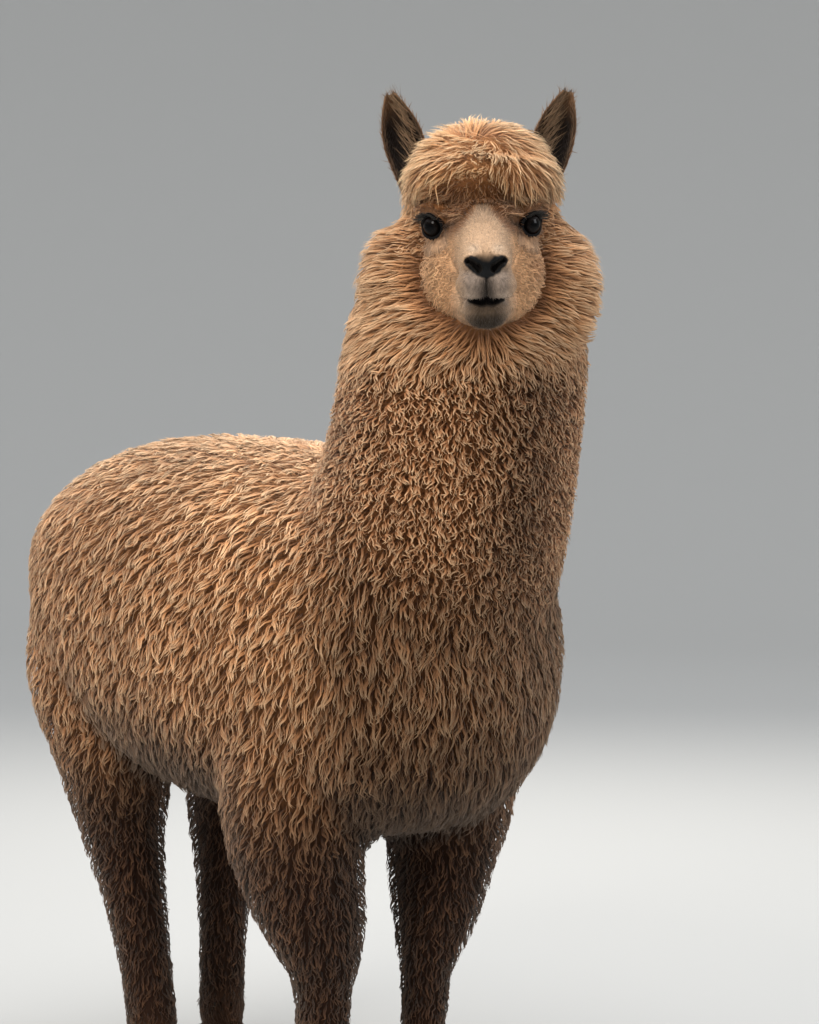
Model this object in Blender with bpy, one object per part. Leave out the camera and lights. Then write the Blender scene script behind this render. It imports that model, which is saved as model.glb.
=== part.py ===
"""A life-size alpaca that stands with its head turned to its right, as a museum shows one.

Metres, +Z up. The animal faces -Y, its left side is +X, and the origin lies on the floor under the
middle of its box. The solids give the outline of the whole fleece, out to the tips of the coat. Each
big form is lofted from a few sections, the forms are melted into one body, and thin cuts divide it.
"""

import math

import bmesh
import bpy
from mathutils import Matrix, Vector

# Driving sizes of the fleeced animal.
BACK_TOP = 0.984        # highest line of the back
BELLY = 0.420           # lowest line of the belly fleece
BARREL_HALF = 0.272     # half of the widest barrel
CHEST_FRONT = -0.505    # foremost line of the chest
RUMP_END = 0.490        # hindmost line of the rump
FRONT_LEG_Y = -0.262    # line through the front legs
HIP_Y = 0.300           # line through the hips
MIDDLE_OF_LENGTH = -0.080   # between the nose and the tail
EYE_HEIGHT = 1.250      # middle between the eyes
HEAD_YAW = math.radians(36)    # the head turns to its right
HEAD_ROLL = math.radians(1.4)  # and leans a little to its right
HEAD_MIDDLE = Vector((-0.053, -0.559, EYE_HEIGHT))

GAP = 0.0003            # opening of each thin cut between neighbours
BODY_VOXEL = 0.008
HEAD_VOXEL = 0.0030
FOOT_VOXEL = 0.0025
BODY_FACES = 2500       # triangles left after thinning out
HEAD_FACES = 1900
FOOT_FACES = 235

FLEECE = (0.42, 0.24, 0.125)
FACE = (0.55, 0.40, 0.27)
EAR = (0.16, 0.105, 0.075)
EYE = (0.012, 0.009, 0.008)
NAIL = (0.06, 0.045, 0.035)
FOOT_FUR = (0.30, 0.17, 0.09)


def finish(name, colour, roughness):
    """A plain surface finish with its colour and roughness."""
    made = bpy.data.materials.new(name)
    made.use_nodes = True
    shader = made.node_tree.nodes["Principled BSDF"]
    shader.inputs["Base Color"].default_value = (*colour, 1.0)
    shader.inputs["Roughness"].default_value = roughness
    return made


def add_object(name, shape, material=None):
    """Turns a bmesh into a linked object, its faces outward, and frees the bmesh."""
    mesh = bpy.data.meshes.new(name)
    bmesh.ops.recalc_face_normals(shape, faces=shape.faces)
    shape.to_mesh(mesh)
    shape.free()
    made = bpy.data.objects.new(name, mesh)
    bpy.context.scene.collection.objects.link(made)
    if material:
        mesh.materials.append(material)
    return made


def settle(thing):
    """Replaces an object's mesh by what its modifiers make of it."""
    bpy.context.view_layer.update()
    evaluated = thing.evaluated_get(bpy.context.evaluated_depsgraph_get())
    mesh = bpy.data.meshes.new_from_object(evaluated)
    thing.modifiers.clear()
    thing.data = mesh
    return thing


def between(stations, span, share):
    """Catmull-Rom value between two stations; each station is a tuple of numbers."""
    last = len(stations) - 1
    a, b = stations[max(span - 1, 0)], stations[span]
    c, d = stations[min(span + 1, last)], stations[min(span + 2, last)]
    s, s2, s3 = share, share**2, share**3
    return [
        0.5 * (2 * q + (r - p) * s + (2 * p - 5 * q + 4 * r - t) * s2 + (3 * q - p - 3 * r + t) * s3)
        for p, q, r, t in zip(a, b, c, d)
    ]


def loft(shape, stations, side, fullness=2.0, sides=28, steps=5, place=Matrix()):
    """Adds a closed tube through stations of (x, y, z, half width, half depth).

    The width lies along side and the depth across it. A fullness over 2 squares the section.
    """
    rings = []
    spans = len(stations) - 1
    values = [between(stations, i, j / steps) for i in range(spans) for j in range(steps)]
    values.append(list(stations[-1]))
    centres = [Vector(v[:3]) for v in values]
    smallest = 0.001
    for i, (centre, value) in enumerate(zip(centres, values)):
        along = (centres[min(i + 1, len(centres) - 1)] - centres[max(i - 1, 0)]).normalized()
        depth_way = along.cross(side).normalized()
        width_way = depth_way.cross(along).normalized()
        ring = []
        for k in range(sides):
            angle = math.tau * k / sides
            c, s = math.cos(angle), math.sin(angle)
            across = math.copysign(abs(c) ** (2 / fullness), c) * max(value[3], smallest)
            deep = math.copysign(abs(s) ** (2 / fullness), s) * max(value[4], smallest)
            ring.append(shape.verts.new(place @ (centre + width_way * across + depth_way * deep)))
        rings.append(ring)
    for near, far in zip(rings, rings[1:]):
        for k in range(sides):
            n = (k + 1) % sides
            shape.faces.new((near[k], near[n], far[n], far[k]))
    shape.faces.new(list(reversed(rings[0])))
    shape.faces.new(rings[-1])


def fatter(stations, extra):
    """The same stations, wider, deeper and longer by a small amount."""
    wider = [(x, y, z, wide + extra, deep + extra) for x, y, z, wide, deep in stations]
    for end, inner in ((0, 1), (-1, -2)):
        tip, next_one = Vector(wider[end][:3]), Vector(wider[inner][:3])
        tip += (tip - next_one).normalized() * extra
        wider[end] = (*tip, *wider[end][3:])
    return wider


def ball(shape, centre, radii, place=Matrix(), sides=32):
    """Adds an ellipsoid."""
    matrix = place @ Matrix.Translation(centre) @ Matrix.Diagonal((*radii, 1.0))
    rows = sides * 5 // 8
    bmesh.ops.create_uvsphere(shape, u_segments=sides, v_segments=rows, radius=1.0, matrix=matrix)


def melt(name, shape, voxel, rounds, faces):
    """Fuses overlapping forms into one soft surface of about that many triangles."""
    thing = add_object(name, shape)
    remesh = thing.modifiers.new("fuse", "REMESH")
    remesh.mode = "VOXEL"
    remesh.voxel_size = voxel
    smooth = thing.modifiers.new("soften", "SMOOTH")
    smooth.iterations = rounds
    smooth.factor = 0.5
    settle(thing)
    thin = thing.modifiers.new("thin out", "DECIMATE")
    triangles = 2 * len(thing.data.polygons)
    thin.ratio = min(1.0, faces / triangles)
    thin.use_collapse_triangulate = True
    return settle(thing)


def cut(shape, point, normal, reach):
    """Opens a thin flat cut through what lies within reach of a point, and caps both sides."""
    point, normal = Vector(point), Vector(normal).normalized()
    near = [f for f in shape.faces if any((v.co - point).length < reach for v in f.verts)]
    geometry = set(near)
    for face in near:
        geometry.update(face.edges)
        geometry.update(face.verts)
    found = bmesh.ops.bisect_plane(
        shape, geom=list(geometry), plane_co=point, plane_no=normal, dist=1e-6
    )
    rim = [e for e in found["geom_cut"] if isinstance(e, bmesh.types.BMEdge)]
    bmesh.ops.split_edges(shape, edges=rim)
    open_edges = [e for e in shape.edges if e.is_boundary]
    for way in (1, -1):
        border = [
            e
            for e in open_edges
            if way * (e.link_faces[0].calc_center_median() - point).dot(normal) > 0
        ]
        corners = {v for e in border for v in e.verts}
        bmesh.ops.translate(shape, verts=list(corners), vec=normal * way * GAP / 2)
        bmesh.ops.triangle_fill(shape, edges=border, use_beauty=True, normal=normal * way)
    bmesh.ops.recalc_face_normals(shape, faces=shape.faces)


def islands(shape):
    """The connected pieces of a bmesh, as lists of vertices."""
    left = set(shape.verts)
    found = []
    while left:
        start = left.pop()
        piece, edge = [start], [start]
        while edge:
            vert = edge.pop()
            for other in (e.other_vert(vert) for e in vert.link_edges):
                if other in left:
                    left.remove(other)
                    piece.append(other)
                    edge.append(other)
        found.append(piece)
    return found


def take_apart(shape, homes, material):
    """Makes one object of each island, named after the home point nearest to its middle."""
    made = {}
    for piece in islands(shape):
        middle = sum((v.co for v in piece), Vector()) / len(piece)
        name = min(homes, key=lambda n: (homes[n] - middle).length)
        wanted = set(piece)
        copy = bmesh.new()
        twins = {v: copy.verts.new(v.co) for v in piece}
        for face in shape.faces:
            if face.verts[0] in wanted:
                copy.faces.new([twins[v] for v in face.verts])
        made[name] = add_object(name, copy, material)
    shape.free()
    return made


def carve(thing, cutter_shape, name):
    """Cuts a pocket in an object with a helper that isn't rendered."""
    cutter = add_object(name, cutter_shape)
    cutter.hide_render = True
    cutter.display_type = "WIRE"
    pocket = thing.modifiers.new(name, "BOOLEAN")
    pocket.operation = "DIFFERENCE"
    pocket.solver = "EXACT"
    pocket.object = cutter
    settle(thing)
    bpy.data.objects.remove(cutter)


for old in list(bpy.data.objects):
    bpy.data.objects.remove(old)

fleece = finish("fleece", FLEECE, 0.9)
face_fur = finish("face_fur", FACE, 0.85)
ear_fur = finish("ear_fur", EAR, 0.85)
eyeball = finish("eyeball", EYE, 0.08)
nail_horn = finish("nail_horn", NAIL, 0.45)
foot_fur = finish("foot_fur", FOOT_FUR, 0.9)

LEFT = Vector((1, 0, 0))
UP = Vector((0, 0, 1))
HEAD = (
    Matrix.Translation(HEAD_MIDDLE)
    @ Matrix.Rotation(-HEAD_YAW, 4, "Z")
    @ Matrix.Rotation(-HEAD_ROLL, 4, "Y")
)

# ---- Trunk: a deep barrel, level along the back, with a sloping rump and a belly that rises behind.


def section(y, top, bottom, half_width):
    """A trunk section from its top and bottom lines."""
    return (0.0, y, (top + bottom) / 2, half_width, (top - bottom) / 2)


TRUNK = [
    section(CHEST_FRONT - 0.014, BACK_TOP - 0.31, BELLY + 0.210, 0.040),
    section(CHEST_FRONT, BACK_TOP - 0.24, BELLY + 0.140, 0.085),
    section(CHEST_FRONT + 0.045, BACK_TOP - 0.16, BELLY + 0.062, 0.165),
    section(CHEST_FRONT + 0.125, BACK_TOP - 0.09, BELLY + 0.012, 0.220),
    section(FRONT_LEG_Y, BACK_TOP - 0.042, BELLY, 0.248),
    section(-0.100, BACK_TOP - 0.016, BELLY + 0.004, BARREL_HALF - 0.004),
    section(0.070, BACK_TOP - 0.002, BELLY + 0.026, BARREL_HALF),
    section(0.210, BACK_TOP, BELLY + 0.068, BARREL_HALF - 0.008),
    section(0.335, BACK_TOP - 0.036, BELLY + 0.112, BARREL_HALF - 0.036),
    section(0.425, BACK_TOP - 0.112, BELLY + 0.152, 0.180),
    section(RUMP_END - 0.014, BACK_TOP - 0.185, BELLY + 0.200, 0.105),
    section(RUMP_END, BACK_TOP - 0.245, BELLY + 0.260, 0.040),
]

# ---- Neck: thick with fleece, leaning forward and then upright.
NECK = [
    (0.000, -0.250, 0.640, 0.205, 0.190),
    (0.000, -0.322, 0.735, 0.200, 0.190),
    (0.000, -0.388, 0.850, 0.184, 0.174),
    (0.002, -0.428, 0.965, 0.174, 0.161),
    (0.006, -0.448, 1.080, 0.171, 0.150),
    (0.004, -0.462, 1.165, 0.154, 0.130),
    (-0.002, -0.480, 1.235, 0.105, 0.090),
]

# ---- Legs: (x, y, z, half width, half depth) of the right side, from inside the trunk to the foot.
FRONT_LEG = [
    (-0.118, FRONT_LEG_Y - 0.010, 0.660, 0.100, 0.120),
    (-0.128, FRONT_LEG_Y + 0.010, 0.540, 0.112, 0.125),
    (-0.130, FRONT_LEG_Y + 0.019, 0.440, 0.104, 0.116),
    (-0.122, FRONT_LEG_Y + 0.016, 0.375, 0.090, 0.098),
    (-0.108, FRONT_LEG_Y + 0.008, 0.310, 0.076, 0.080),
    (-0.098, FRONT_LEG_Y + 0.006, 0.262, 0.060, 0.064),
    (-0.094, FRONT_LEG_Y + 0.008, 0.222, 0.045, 0.049),
    (-0.092, FRONT_LEG_Y + 0.010, 0.150, 0.039, 0.043),
    (-0.092, FRONT_LEG_Y + 0.008, 0.090, 0.040, 0.044),
    (-0.092, FRONT_LEG_Y + 0.002, 0.045, 0.036, 0.040),
]
HIND_LEG = [
    (-0.120, HIP_Y + 0.015, 0.720, 0.110, 0.125),
    (-0.135, HIP_Y - 0.010, 0.620, 0.110, 0.140),
    (-0.130, HIP_Y - 0.032, 0.530, 0.098, 0.122),
    (-0.120, HIP_Y - 0.035, 0.450, 0.084, 0.102),
    (-0.112, HIP_Y - 0.038, 0.370, 0.066, 0.078),
    (-0.106, HIP_Y - 0.058, 0.285, 0.052, 0.058),
    (-0.101, HIP_Y - 0.078, 0.195, 0.043, 0.047),
    (-0.098, HIP_Y - 0.092, 0.120, 0.040, 0.044),
    (-0.098, HIP_Y - 0.098, 0.085, 0.040, 0.044),
    (-0.098, HIP_Y - 0.104, 0.045, 0.036, 0.040),
]


def stance(leg, side, inward, back, slim):
    """A leg of one side: its foot set inward or back, its wool slimmer towards the foot."""
    top, low = leg[0][2], leg[-1][2]
    placed = []
    for x, y, z, wide, deep in leg:
        share = (top - z) / (top - low)
        thin = 1 - (1 - slim) * min(1.0, 2 * share)
        placed.append((side * (x + inward * share), y + back * share, z, wide * thin, deep * thin))
    return placed


LEGS = {
    "front_right": stance(FRONT_LEG, 1, 0.0, 0.0, 1.0),
    "front_left": stance(FRONT_LEG, -1, 0.022, -0.010, 0.88),
    "hind_right": stance(HIND_LEG, 1, 0.0, 0.0, 1.0),
    "hind_left": stance(HIND_LEG, -1, 0.004, 0.115, 0.95),
}

TAIL = [
    (0.0, RUMP_END - 0.120, 0.835, 0.036, 0.036),
    (0.0, RUMP_END - 0.050, 0.815, 0.046, 0.044),
    (0.0, RUMP_END - 0.002, 0.770, 0.052, 0.044),
    (0.0, RUMP_END + 0.014, 0.710, 0.053, 0.042),
    (0.0, RUMP_END + 0.014, 0.650, 0.048, 0.038),
    (0.0, RUMP_END + 0.006, 0.604, 0.034, 0.028),
    (0.0, RUMP_END + 0.002, 0.584, 0.014, 0.012),
]

# ---- Head forms, in the head's own axes: origin between the eyes, face towards -Y.
SKULL_TO_NOSE = [
    (0.0, 0.100, -0.010, 0.060, 0.062),
    (0.0, 0.055, 0.000, 0.076, 0.072),
    (0.0, 0.015, -0.008, 0.068, 0.062),
    (0.0, -0.020, -0.018, 0.050, 0.053),
    (0.0, -0.055, -0.034, 0.040, 0.046),
    (0.0, -0.090, -0.046, 0.035, 0.041),
    (0.0, -0.122, -0.056, 0.034, 0.036),
    (0.0, -0.147, -0.061, 0.031, 0.030),
    (0.0, -0.160, -0.063, 0.019, 0.020),
]
JAW_TO_CHIN = [
    (0.0, 0.070, -0.075, 0.056, 0.050),
    (0.0, 0.020, -0.088, 0.056, 0.042),
    (0.0, -0.045, -0.100, 0.040, 0.032),
    (0.0, -0.100, -0.109, 0.028, 0.023),
    (0.0, -0.130, -0.113, 0.022, 0.016),
    (0.0, -0.143, -0.114, 0.013, 0.010),
]


def head_forms(shape):
    """The face with its lips, the topknot above it and the woolly cheeks beside it."""
    loft(shape, SKULL_TO_NOSE, LEFT, fullness=2.3, place=HEAD)
    loft(shape, JAW_TO_CHIN, LEFT, fullness=2.2, place=HEAD)
    ball(shape, (0.004, 0.060, 0.052), (0.104, 0.104, 0.093), HEAD)      # crown wool
    ball(shape, (0.004, 0.050, 0.085), (0.088, 0.085, 0.058), HEAD)      # its flatter top
    ball(shape, (0, 0.000, 0.064), (0.084, 0.072, 0.048), HEAD)          # forelock
    ball(shape, (0, 0.022, 0.086), (0.086, 0.076, 0.050), HEAD)          # its rise to the crown
    ball(shape, (0, 0.008, -0.062), (0.077, 0.056, 0.074), HEAD)         # short-haired cheeks
    ball(shape, (0, 0.045, -0.125), (0.100, 0.075, 0.070), HEAD)         # throat wool
    ball(shape, (0, 0.105, -0.020), (0.080, 0.085, 0.090), HEAD)         # nape wool
    for way in (-1, 1):
        ball(shape, (way * 0.018, -0.137, -0.083), (0.0215, 0.0260, 0.0220), HEAD)  # lip
        ball(shape, (way * 0.017, -0.150, -0.056), (0.0130, 0.0130, 0.0120), HEAD)  # nostril
        ball(shape, (way * 0.056, 0.002, 0.026), (0.026, 0.026, 0.014), HEAD)       # brow
        ball(shape, (way * 0.081 - 0.003, 0.078, -0.078), (0.077, 0.082, 0.100), HEAD)  # cheek wool


# ---- Eyes: large balls at the sides of the brow.
EYE_RADIUS = 0.0185
EYE_SIDES = 14
EYE_PLACE = Vector((0.0570, -0.005, 0.0))    # the left eye, in the head's axes

# ---- Ears: upright spears, cupped forwards, sunk into the topknot.
EAR_LENGTH = 0.180
EAR_ROOT = Vector((0.071, 0.085, 0.008))    # the left ear's root, in the head's axes
EAR_LEANS = {-1: math.radians(14), 1: math.radians(16)}   # outward lean, right and left
EAR_TURN = math.radians(6)                  # the cup turns this far outward
EAR_WALL = 0.0045
EAR_BOW = 0.018                             # the ear arches backwards by this much
EAR_CUP = 0.80                              # depth of the cup over its half width
EAR_WIDTHS = [0.0130, 0.0165, 0.0190, 0.0220, 0.0252, 0.0274, 0.0236, 0.0145, 0.0030]


def ear_shape(way, extra):
    """A cupped ear: sections from root to tip, each a bent band that is hollow in front."""
    shape = bmesh.new()
    place = (
        HEAD
        @ Matrix.Translation((way * EAR_ROOT.x, EAR_ROOT.y, EAR_ROOT.z))
        @ Matrix.Rotation(way * EAR_LEANS[way], 4, "Y")
        @ Matrix.Rotation(way * EAR_TURN, 4, "Z")
    )
    steps = 8
    last = len(EAR_WIDTHS) - 1
    rings = []
    for i, half in enumerate(EAR_WIDTHS):
        height = EAR_LENGTH * i / last + extra * (2 * i / last - 1)
        bow = EAR_BOW * math.sin(math.pi * i / last)
        wall = min(EAR_WALL, 0.55 * half)
        outer = [(half + extra, math.pi * k / steps, -extra) for k in range(steps + 1)]
        inner = [(half - wall - extra, math.pi * k / steps, -extra) for k in range(steps, -1, -1)]
        ring = []
        for size, angle, rim in outer + inner:
            deep = EAR_CUP * size * math.sin(angle) + bow + rim * abs(math.cos(angle))
            ring.append(shape.verts.new(place @ Vector((size * math.cos(angle), deep, height))))
        rings.append(ring)
    count = len(rings[0])
    for near, far in zip(rings, rings[1:]):
        for k in range(count):
            n = (k + 1) % count
            shape.faces.new((near[k], near[n], far[n], far[k]))
    shape.faces.new(list(reversed(rings[0])))
    shape.faces.new(rings[-1])
    bmesh.ops.triangulate(shape, faces=shape.faces[:])
    return shape


# ---- Feet: two padded toes on a flat sole, each with one long nail.
TOE_SPREAD = 0.0190


def toes(shape, x, y):
    """Two toes side by side; they reach below the floor and are cut flat there."""
    for way in (-1, 1):
        toe = [
            (x + way * TOE_SPREAD * 0.9, y + 0.040, 0.018, 0.010, 0.010),
            (x + way * TOE_SPREAD, y + 0.030, 0.018, 0.018, 0.020),
            (x + way * TOE_SPREAD, y + 0.000, 0.020, 0.0205, 0.025),
            (x + way * TOE_SPREAD * 1.05, y - 0.032, 0.017, 0.0190, 0.020),
            (x + way * TOE_SPREAD * 1.10, y - 0.048, 0.014, 0.0140, 0.015),
            (x + way * TOE_SPREAD * 1.10, y - 0.055, 0.012, 0.0070, 0.008),
        ]
        loft(shape, toe, LEFT, sides=20)


def nail_line(x, y, way):
    """A curved horn nail on the front of a toe, its tip just above the floor."""
    out = x + way * TOE_SPREAD * 1.10
    return [
        (out, y - 0.032, 0.0260, 0.0070, 0.0060),
        (out, y - 0.044, 0.0235, 0.0092, 0.0072),
        (out, y - 0.056, 0.0170, 0.0084, 0.0066),
        (out, y - 0.065, 0.0105, 0.0060, 0.0050),
        (out, y - 0.071, 0.0055, 0.0024, 0.0026),
    ]


# ---- Melt the body and the head, and cut them where the parts are named.
NECK_CUT = (Vector((-0.014, -0.466, 1.085)), Vector((-0.05, -0.45, 1.0)))
SHOULDER_CUT = (Vector((0.0, -0.375, 0.800)), Vector((0.0, -0.80, 1.0)))
ELBOW, KNEE, ANKLE = 0.392, 0.225, 0.085
STIFLE, HOCK = 0.455, 0.285
SHOULDER_REACH = 0.34   # each cut works on what lies this near to its point
THIGH_REACH = 0.14
SHANK_REACH = 0.09


def slice_off(thing, point, normal):
    """Removes what lies beyond a plane and caps the rest, half a gap short of it."""
    shape = bmesh.new()
    shape.from_mesh(thing.data)
    normal = Vector(normal).normalized()
    found = bmesh.ops.bisect_plane(
        shape,
        geom=shape.verts[:] + shape.edges[:] + shape.faces[:],
        plane_co=Vector(point) - normal * GAP / 2,
        plane_no=normal,
        dist=1e-6,
        clear_outer=True,
    )
    rim = [e for e in found["geom_cut"] if isinstance(e, bmesh.types.BMEdge)]
    bmesh.ops.triangle_fill(shape, edges=rim, use_beauty=True, normal=normal)
    bmesh.ops.recalc_face_normals(shape, faces=shape.faces)
    shape.to_mesh(thing.data)
    shape.free()


body_shape = bmesh.new()
loft(body_shape, TRUNK, LEFT, fullness=2.35, sides=36)
loft(body_shape, NECK, LEFT, fullness=2.1)
for stations in LEGS.values():
    loft(body_shape, stations, LEFT)
body = melt("body", body_shape, BODY_VOXEL, 10, BODY_FACES)
slice_off(body, *NECK_CUT)
slice_off(body, (0, 0, ANKLE), -UP)

head_shape = bmesh.new()
loft(head_shape, NECK, LEFT, fullness=2.1)
head_forms(head_shape)
head = melt("head", head_shape, HEAD_VOXEL, 6, HEAD_FACES)
slice_off(head, NECK_CUT[0], -NECK_CUT[1])
head.data.materials.append(face_fur)

cuts = [(*SHOULDER_CUT, SHOULDER_REACH)]
homes = {"trunk": Vector((0, 0.05, 0.65)), "neck": Vector((0, -0.42, 0.95))}
feet = {}
for name, stations in LEGS.items():
    top, middle = (ELBOW, KNEE) if name.startswith("front") else (STIFLE, HOCK)
    lengths = (("upper", top, middle, THIGH_REACH), ("lower", middle, ANKLE, SHANK_REACH))
    for part_name, high, low, reach in lengths:
        near = min(stations, key=lambda s: abs(s[2] - high))
        cuts.append((Vector((near[0], near[1], high)), UP, reach))
        homes[f"leg_{name}_{part_name}"] = Vector((near[0], near[1], (high + low) / 2))
    foot_shape = bmesh.new()
    loft(foot_shape, stations[-5:], LEFT)
    toes(foot_shape, stations[-1][0], stations[-1][1])
    foot = melt(f"leg_{name}_foot", foot_shape, FOOT_VOXEL, 3, FOOT_FACES)
    slice_off(foot, (0, 0, ANKLE), UP)
    slice_off(foot, (0, 0, -GAP / 2), -UP)
    foot.data.materials.append(foot_fur)
    feet[name] = foot

shape = bmesh.new()
shape.from_mesh(body.data)
bpy.data.objects.remove(body)
for point, normal, reach in cuts:
    cut(shape, point, normal, reach)
parts = take_apart(shape, homes, fleece)

# ---- Eyes and ears sit in pockets of the head.
for way, side in ((-1, "right"), (1, "left")):
    middle = HEAD @ Vector((way * EYE_PLACE.x, EYE_PLACE.y, EYE_PLACE.z))
    pocket = bmesh.new()
    ball(pocket, middle, (EYE_RADIUS + GAP,) * 3, sides=EYE_SIDES)
    carve(head, pocket, "eye_pocket")
    eye = bmesh.new()
    ball(eye, middle, (EYE_RADIUS,) * 3, sides=EYE_SIDES)
    add_object(f"eye_{side}", eye, eyeball)
    carve(head, ear_shape(way, GAP), "ear_pocket")
    add_object(f"ear_{side}", ear_shape(way, 0.0), ear_fur)

# ---- The tail hangs in a groove of the rump.
groove = bmesh.new()
loft(groove, fatter(TAIL, GAP), LEFT, sides=12, steps=2)
carve(parts["trunk"], groove, "tail_groove")
tail = bmesh.new()
loft(tail, TAIL, LEFT, sides=12, steps=2)
add_object("tail", tail, fleece)

# ---- Nails sit in pockets of the toes.
for name, stations in LEGS.items():
    x, y = stations[-1][:2]
    for way, place in ((-1, "right"), (1, "left")):
        line = nail_line(x, y, way)
        pocket = bmesh.new()
        loft(pocket, fatter(line, GAP), LEFT, sides=8, steps=1)
        carve(feet[name], pocket, "nail_pocket")
        horn = bmesh.new()
        loft(horn, line, LEFT, sides=8, steps=1)
        add_object(f"nail_{name}_{place}", horn, nail_horn)

# ---- Slide the whole so that the middle of its length stands over the origin.
for thing in bpy.context.scene.objects:
    thing.data.transform(Matrix.Translation((0.0, -MIDDLE_OF_LENGTH, 0.0)))
    thing.data.shade_smooth()
    thing.data.set_sharp_from_angle(angle=math.radians(40))
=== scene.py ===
"""The looks of a life-size alpaca: one skin, wet eyes, horn claws and a fleece of modelled locks.

Metres, +Z up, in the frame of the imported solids. The animal faces -Y and its left side is +X.
"""

import math

import bmesh
import bpy
import numpy as np
from mathutils import Matrix, Vector
from mathutils.kdtree import KDTree


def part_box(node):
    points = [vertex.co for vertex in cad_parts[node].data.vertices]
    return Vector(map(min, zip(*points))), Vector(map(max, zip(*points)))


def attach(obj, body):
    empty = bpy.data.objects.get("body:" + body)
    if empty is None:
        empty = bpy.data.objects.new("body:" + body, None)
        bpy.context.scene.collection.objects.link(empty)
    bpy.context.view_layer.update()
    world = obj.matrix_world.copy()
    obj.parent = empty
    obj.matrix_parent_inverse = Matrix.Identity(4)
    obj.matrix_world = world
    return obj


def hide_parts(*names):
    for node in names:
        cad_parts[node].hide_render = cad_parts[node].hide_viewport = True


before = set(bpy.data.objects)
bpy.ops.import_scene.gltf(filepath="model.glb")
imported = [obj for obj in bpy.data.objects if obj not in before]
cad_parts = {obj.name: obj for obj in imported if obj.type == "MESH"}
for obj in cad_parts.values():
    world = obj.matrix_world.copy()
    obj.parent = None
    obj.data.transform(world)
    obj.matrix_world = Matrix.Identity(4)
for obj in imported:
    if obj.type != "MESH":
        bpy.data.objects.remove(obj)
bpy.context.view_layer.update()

# ---- Camera: a long lens in front of the animal's right shoulder, at the height of its chest and
# tilted down a little.
CAMERA_PLACE = (-2.16677, -3.23065, 1.0)
CAMERA_AIM = (-1.57932, -2.42210, 0.96582)
LENS = 94.57            # millimetres, before a sensor 36 wide


def put(name, data):
    """A new object in the scene."""
    made = bpy.data.objects.new(name, data)
    bpy.context.scene.collection.objects.link(made)
    return made


def aim(thing, place, target):
    """Sets a camera or a lamp at one place, facing another."""
    thing.location = place
    thing.rotation_euler = (Vector(target) - Vector(place)).to_track_quat("-Z", "Y").to_euler()


camera = put("camera", bpy.data.cameras.new("camera"))
camera.data.lens = LENS
aim(camera, CAMERA_PLACE, CAMERA_AIM)
bpy.context.scene.camera = camera

# ---- Skin, body: the hide of trunk, neck, legs and tail in one piece, sunk below the fleece by the
# coat's depth. It starts from the solids' own shape, fused into one closed surface.
FUSE_GRID = 0.008       # mesh size where wool hides the skin
BUTT = 0.0006           # the solids swell by this, so that their thin cuts close
BODY_ROUNDS = 4         # of smoothing, before the skin is sunk
SUNK_ROUNDS = 8         # and after
FACE_SINK = 0.012       # under the face, the body's own surface lies out of sight
FOOT_SINK = 0.006
HOLLOW_FILL = 0.011     # the dome runs into the fringe without a hollow
LEG_HEIGHTS = [0.00, 0.03, 0.085, 0.22, 0.30, 0.42, 0.55]
LEG_DEPTHS = [0.0015, 0.0015, 0.0035, 0.0075, 0.0120, 0.0170, 0.0205]
EAR_SOCKET, EAR_SOCKET_RADII = (0.071, 0.092, 0.040), (0.03, 0.03, 0.06)       # head axes
FLESH = [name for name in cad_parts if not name.startswith(("eye", "nail"))]


def ease(low, high, value):
    """0 below low, 1 above high and a soft rise between."""
    share = np.clip((value - low) / (high - low), 0.0, 1.0)
    return share * share * (3 - 2 * share)


def bell(value, width):
    """1 where the value is zero, falling to nothing a few widths away."""
    return np.exp(-((value / width) ** 2))


def settled(thing):
    """The object with its modifiers applied."""
    bpy.context.view_layer.update()
    evaluated = thing.evaluated_get(bpy.context.evaluated_depsgraph_get())
    mesh = bpy.data.meshes.new_from_object(evaluated)
    thing.modifiers.clear()
    thing.data = mesh
    return thing


def made_of(name, shape):
    """An object from a bmesh, which is freed."""
    mesh = bpy.data.meshes.new(name)
    shape.to_mesh(mesh)
    shape.free()
    return put(name, mesh)


def soften(thing, rounds):
    """The object with its modifiers and some rounds of smoothing applied."""
    thing.modifiers.new("soften", "SMOOTH").iterations = rounds
    return settled(thing)


def fused(name, shape, grid, rounds):
    """Overlapping closed forms as one soft closed surface."""
    thing = made_of(name, shape)
    fuse = thing.modifiers.new("fuse", "REMESH")
    fuse.mode = "VOXEL"
    fuse.voxel_size = grid
    return soften(thing, rounds)


def fetch(items, what, width, kind=np.float32):
    """One property of mesh items as an array, a row for each."""
    values = np.empty(len(items) * width, kind)
    items.foreach_get(what, values)
    return values.reshape(-1, width)


def read(mesh, what="co"):
    """Vertex places or normals."""
    return fetch(mesh.vertices, what, 3).astype(float)


def write(mesh, points):
    """Moves a mesh's vertices to these places."""
    mesh.vertices.foreach_set("co", np.asarray(points, np.float32).ravel())
    mesh.update()


def add_solids(shape, names, swell):
    """Adds copies of solids, their loose triangles merged, swollen a little."""
    for name in names:
        copy = bmesh.new()
        copy.from_mesh(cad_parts[name].data)
        bmesh.ops.remove_doubles(copy, verts=copy.verts, dist=1e-5)
        copy.normal_update()
        for vert in copy.verts:
            vert.co += vert.normal * swell
        scratch = bpy.data.meshes.new("scratch")
        copy.to_mesh(scratch)
        copy.free()
        shape.from_mesh(scratch)
        bpy.data.meshes.remove(scratch)


def middle(node):
    """Centre of a solid's box."""
    low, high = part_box(node)
    return (low + high) / 2


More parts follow.
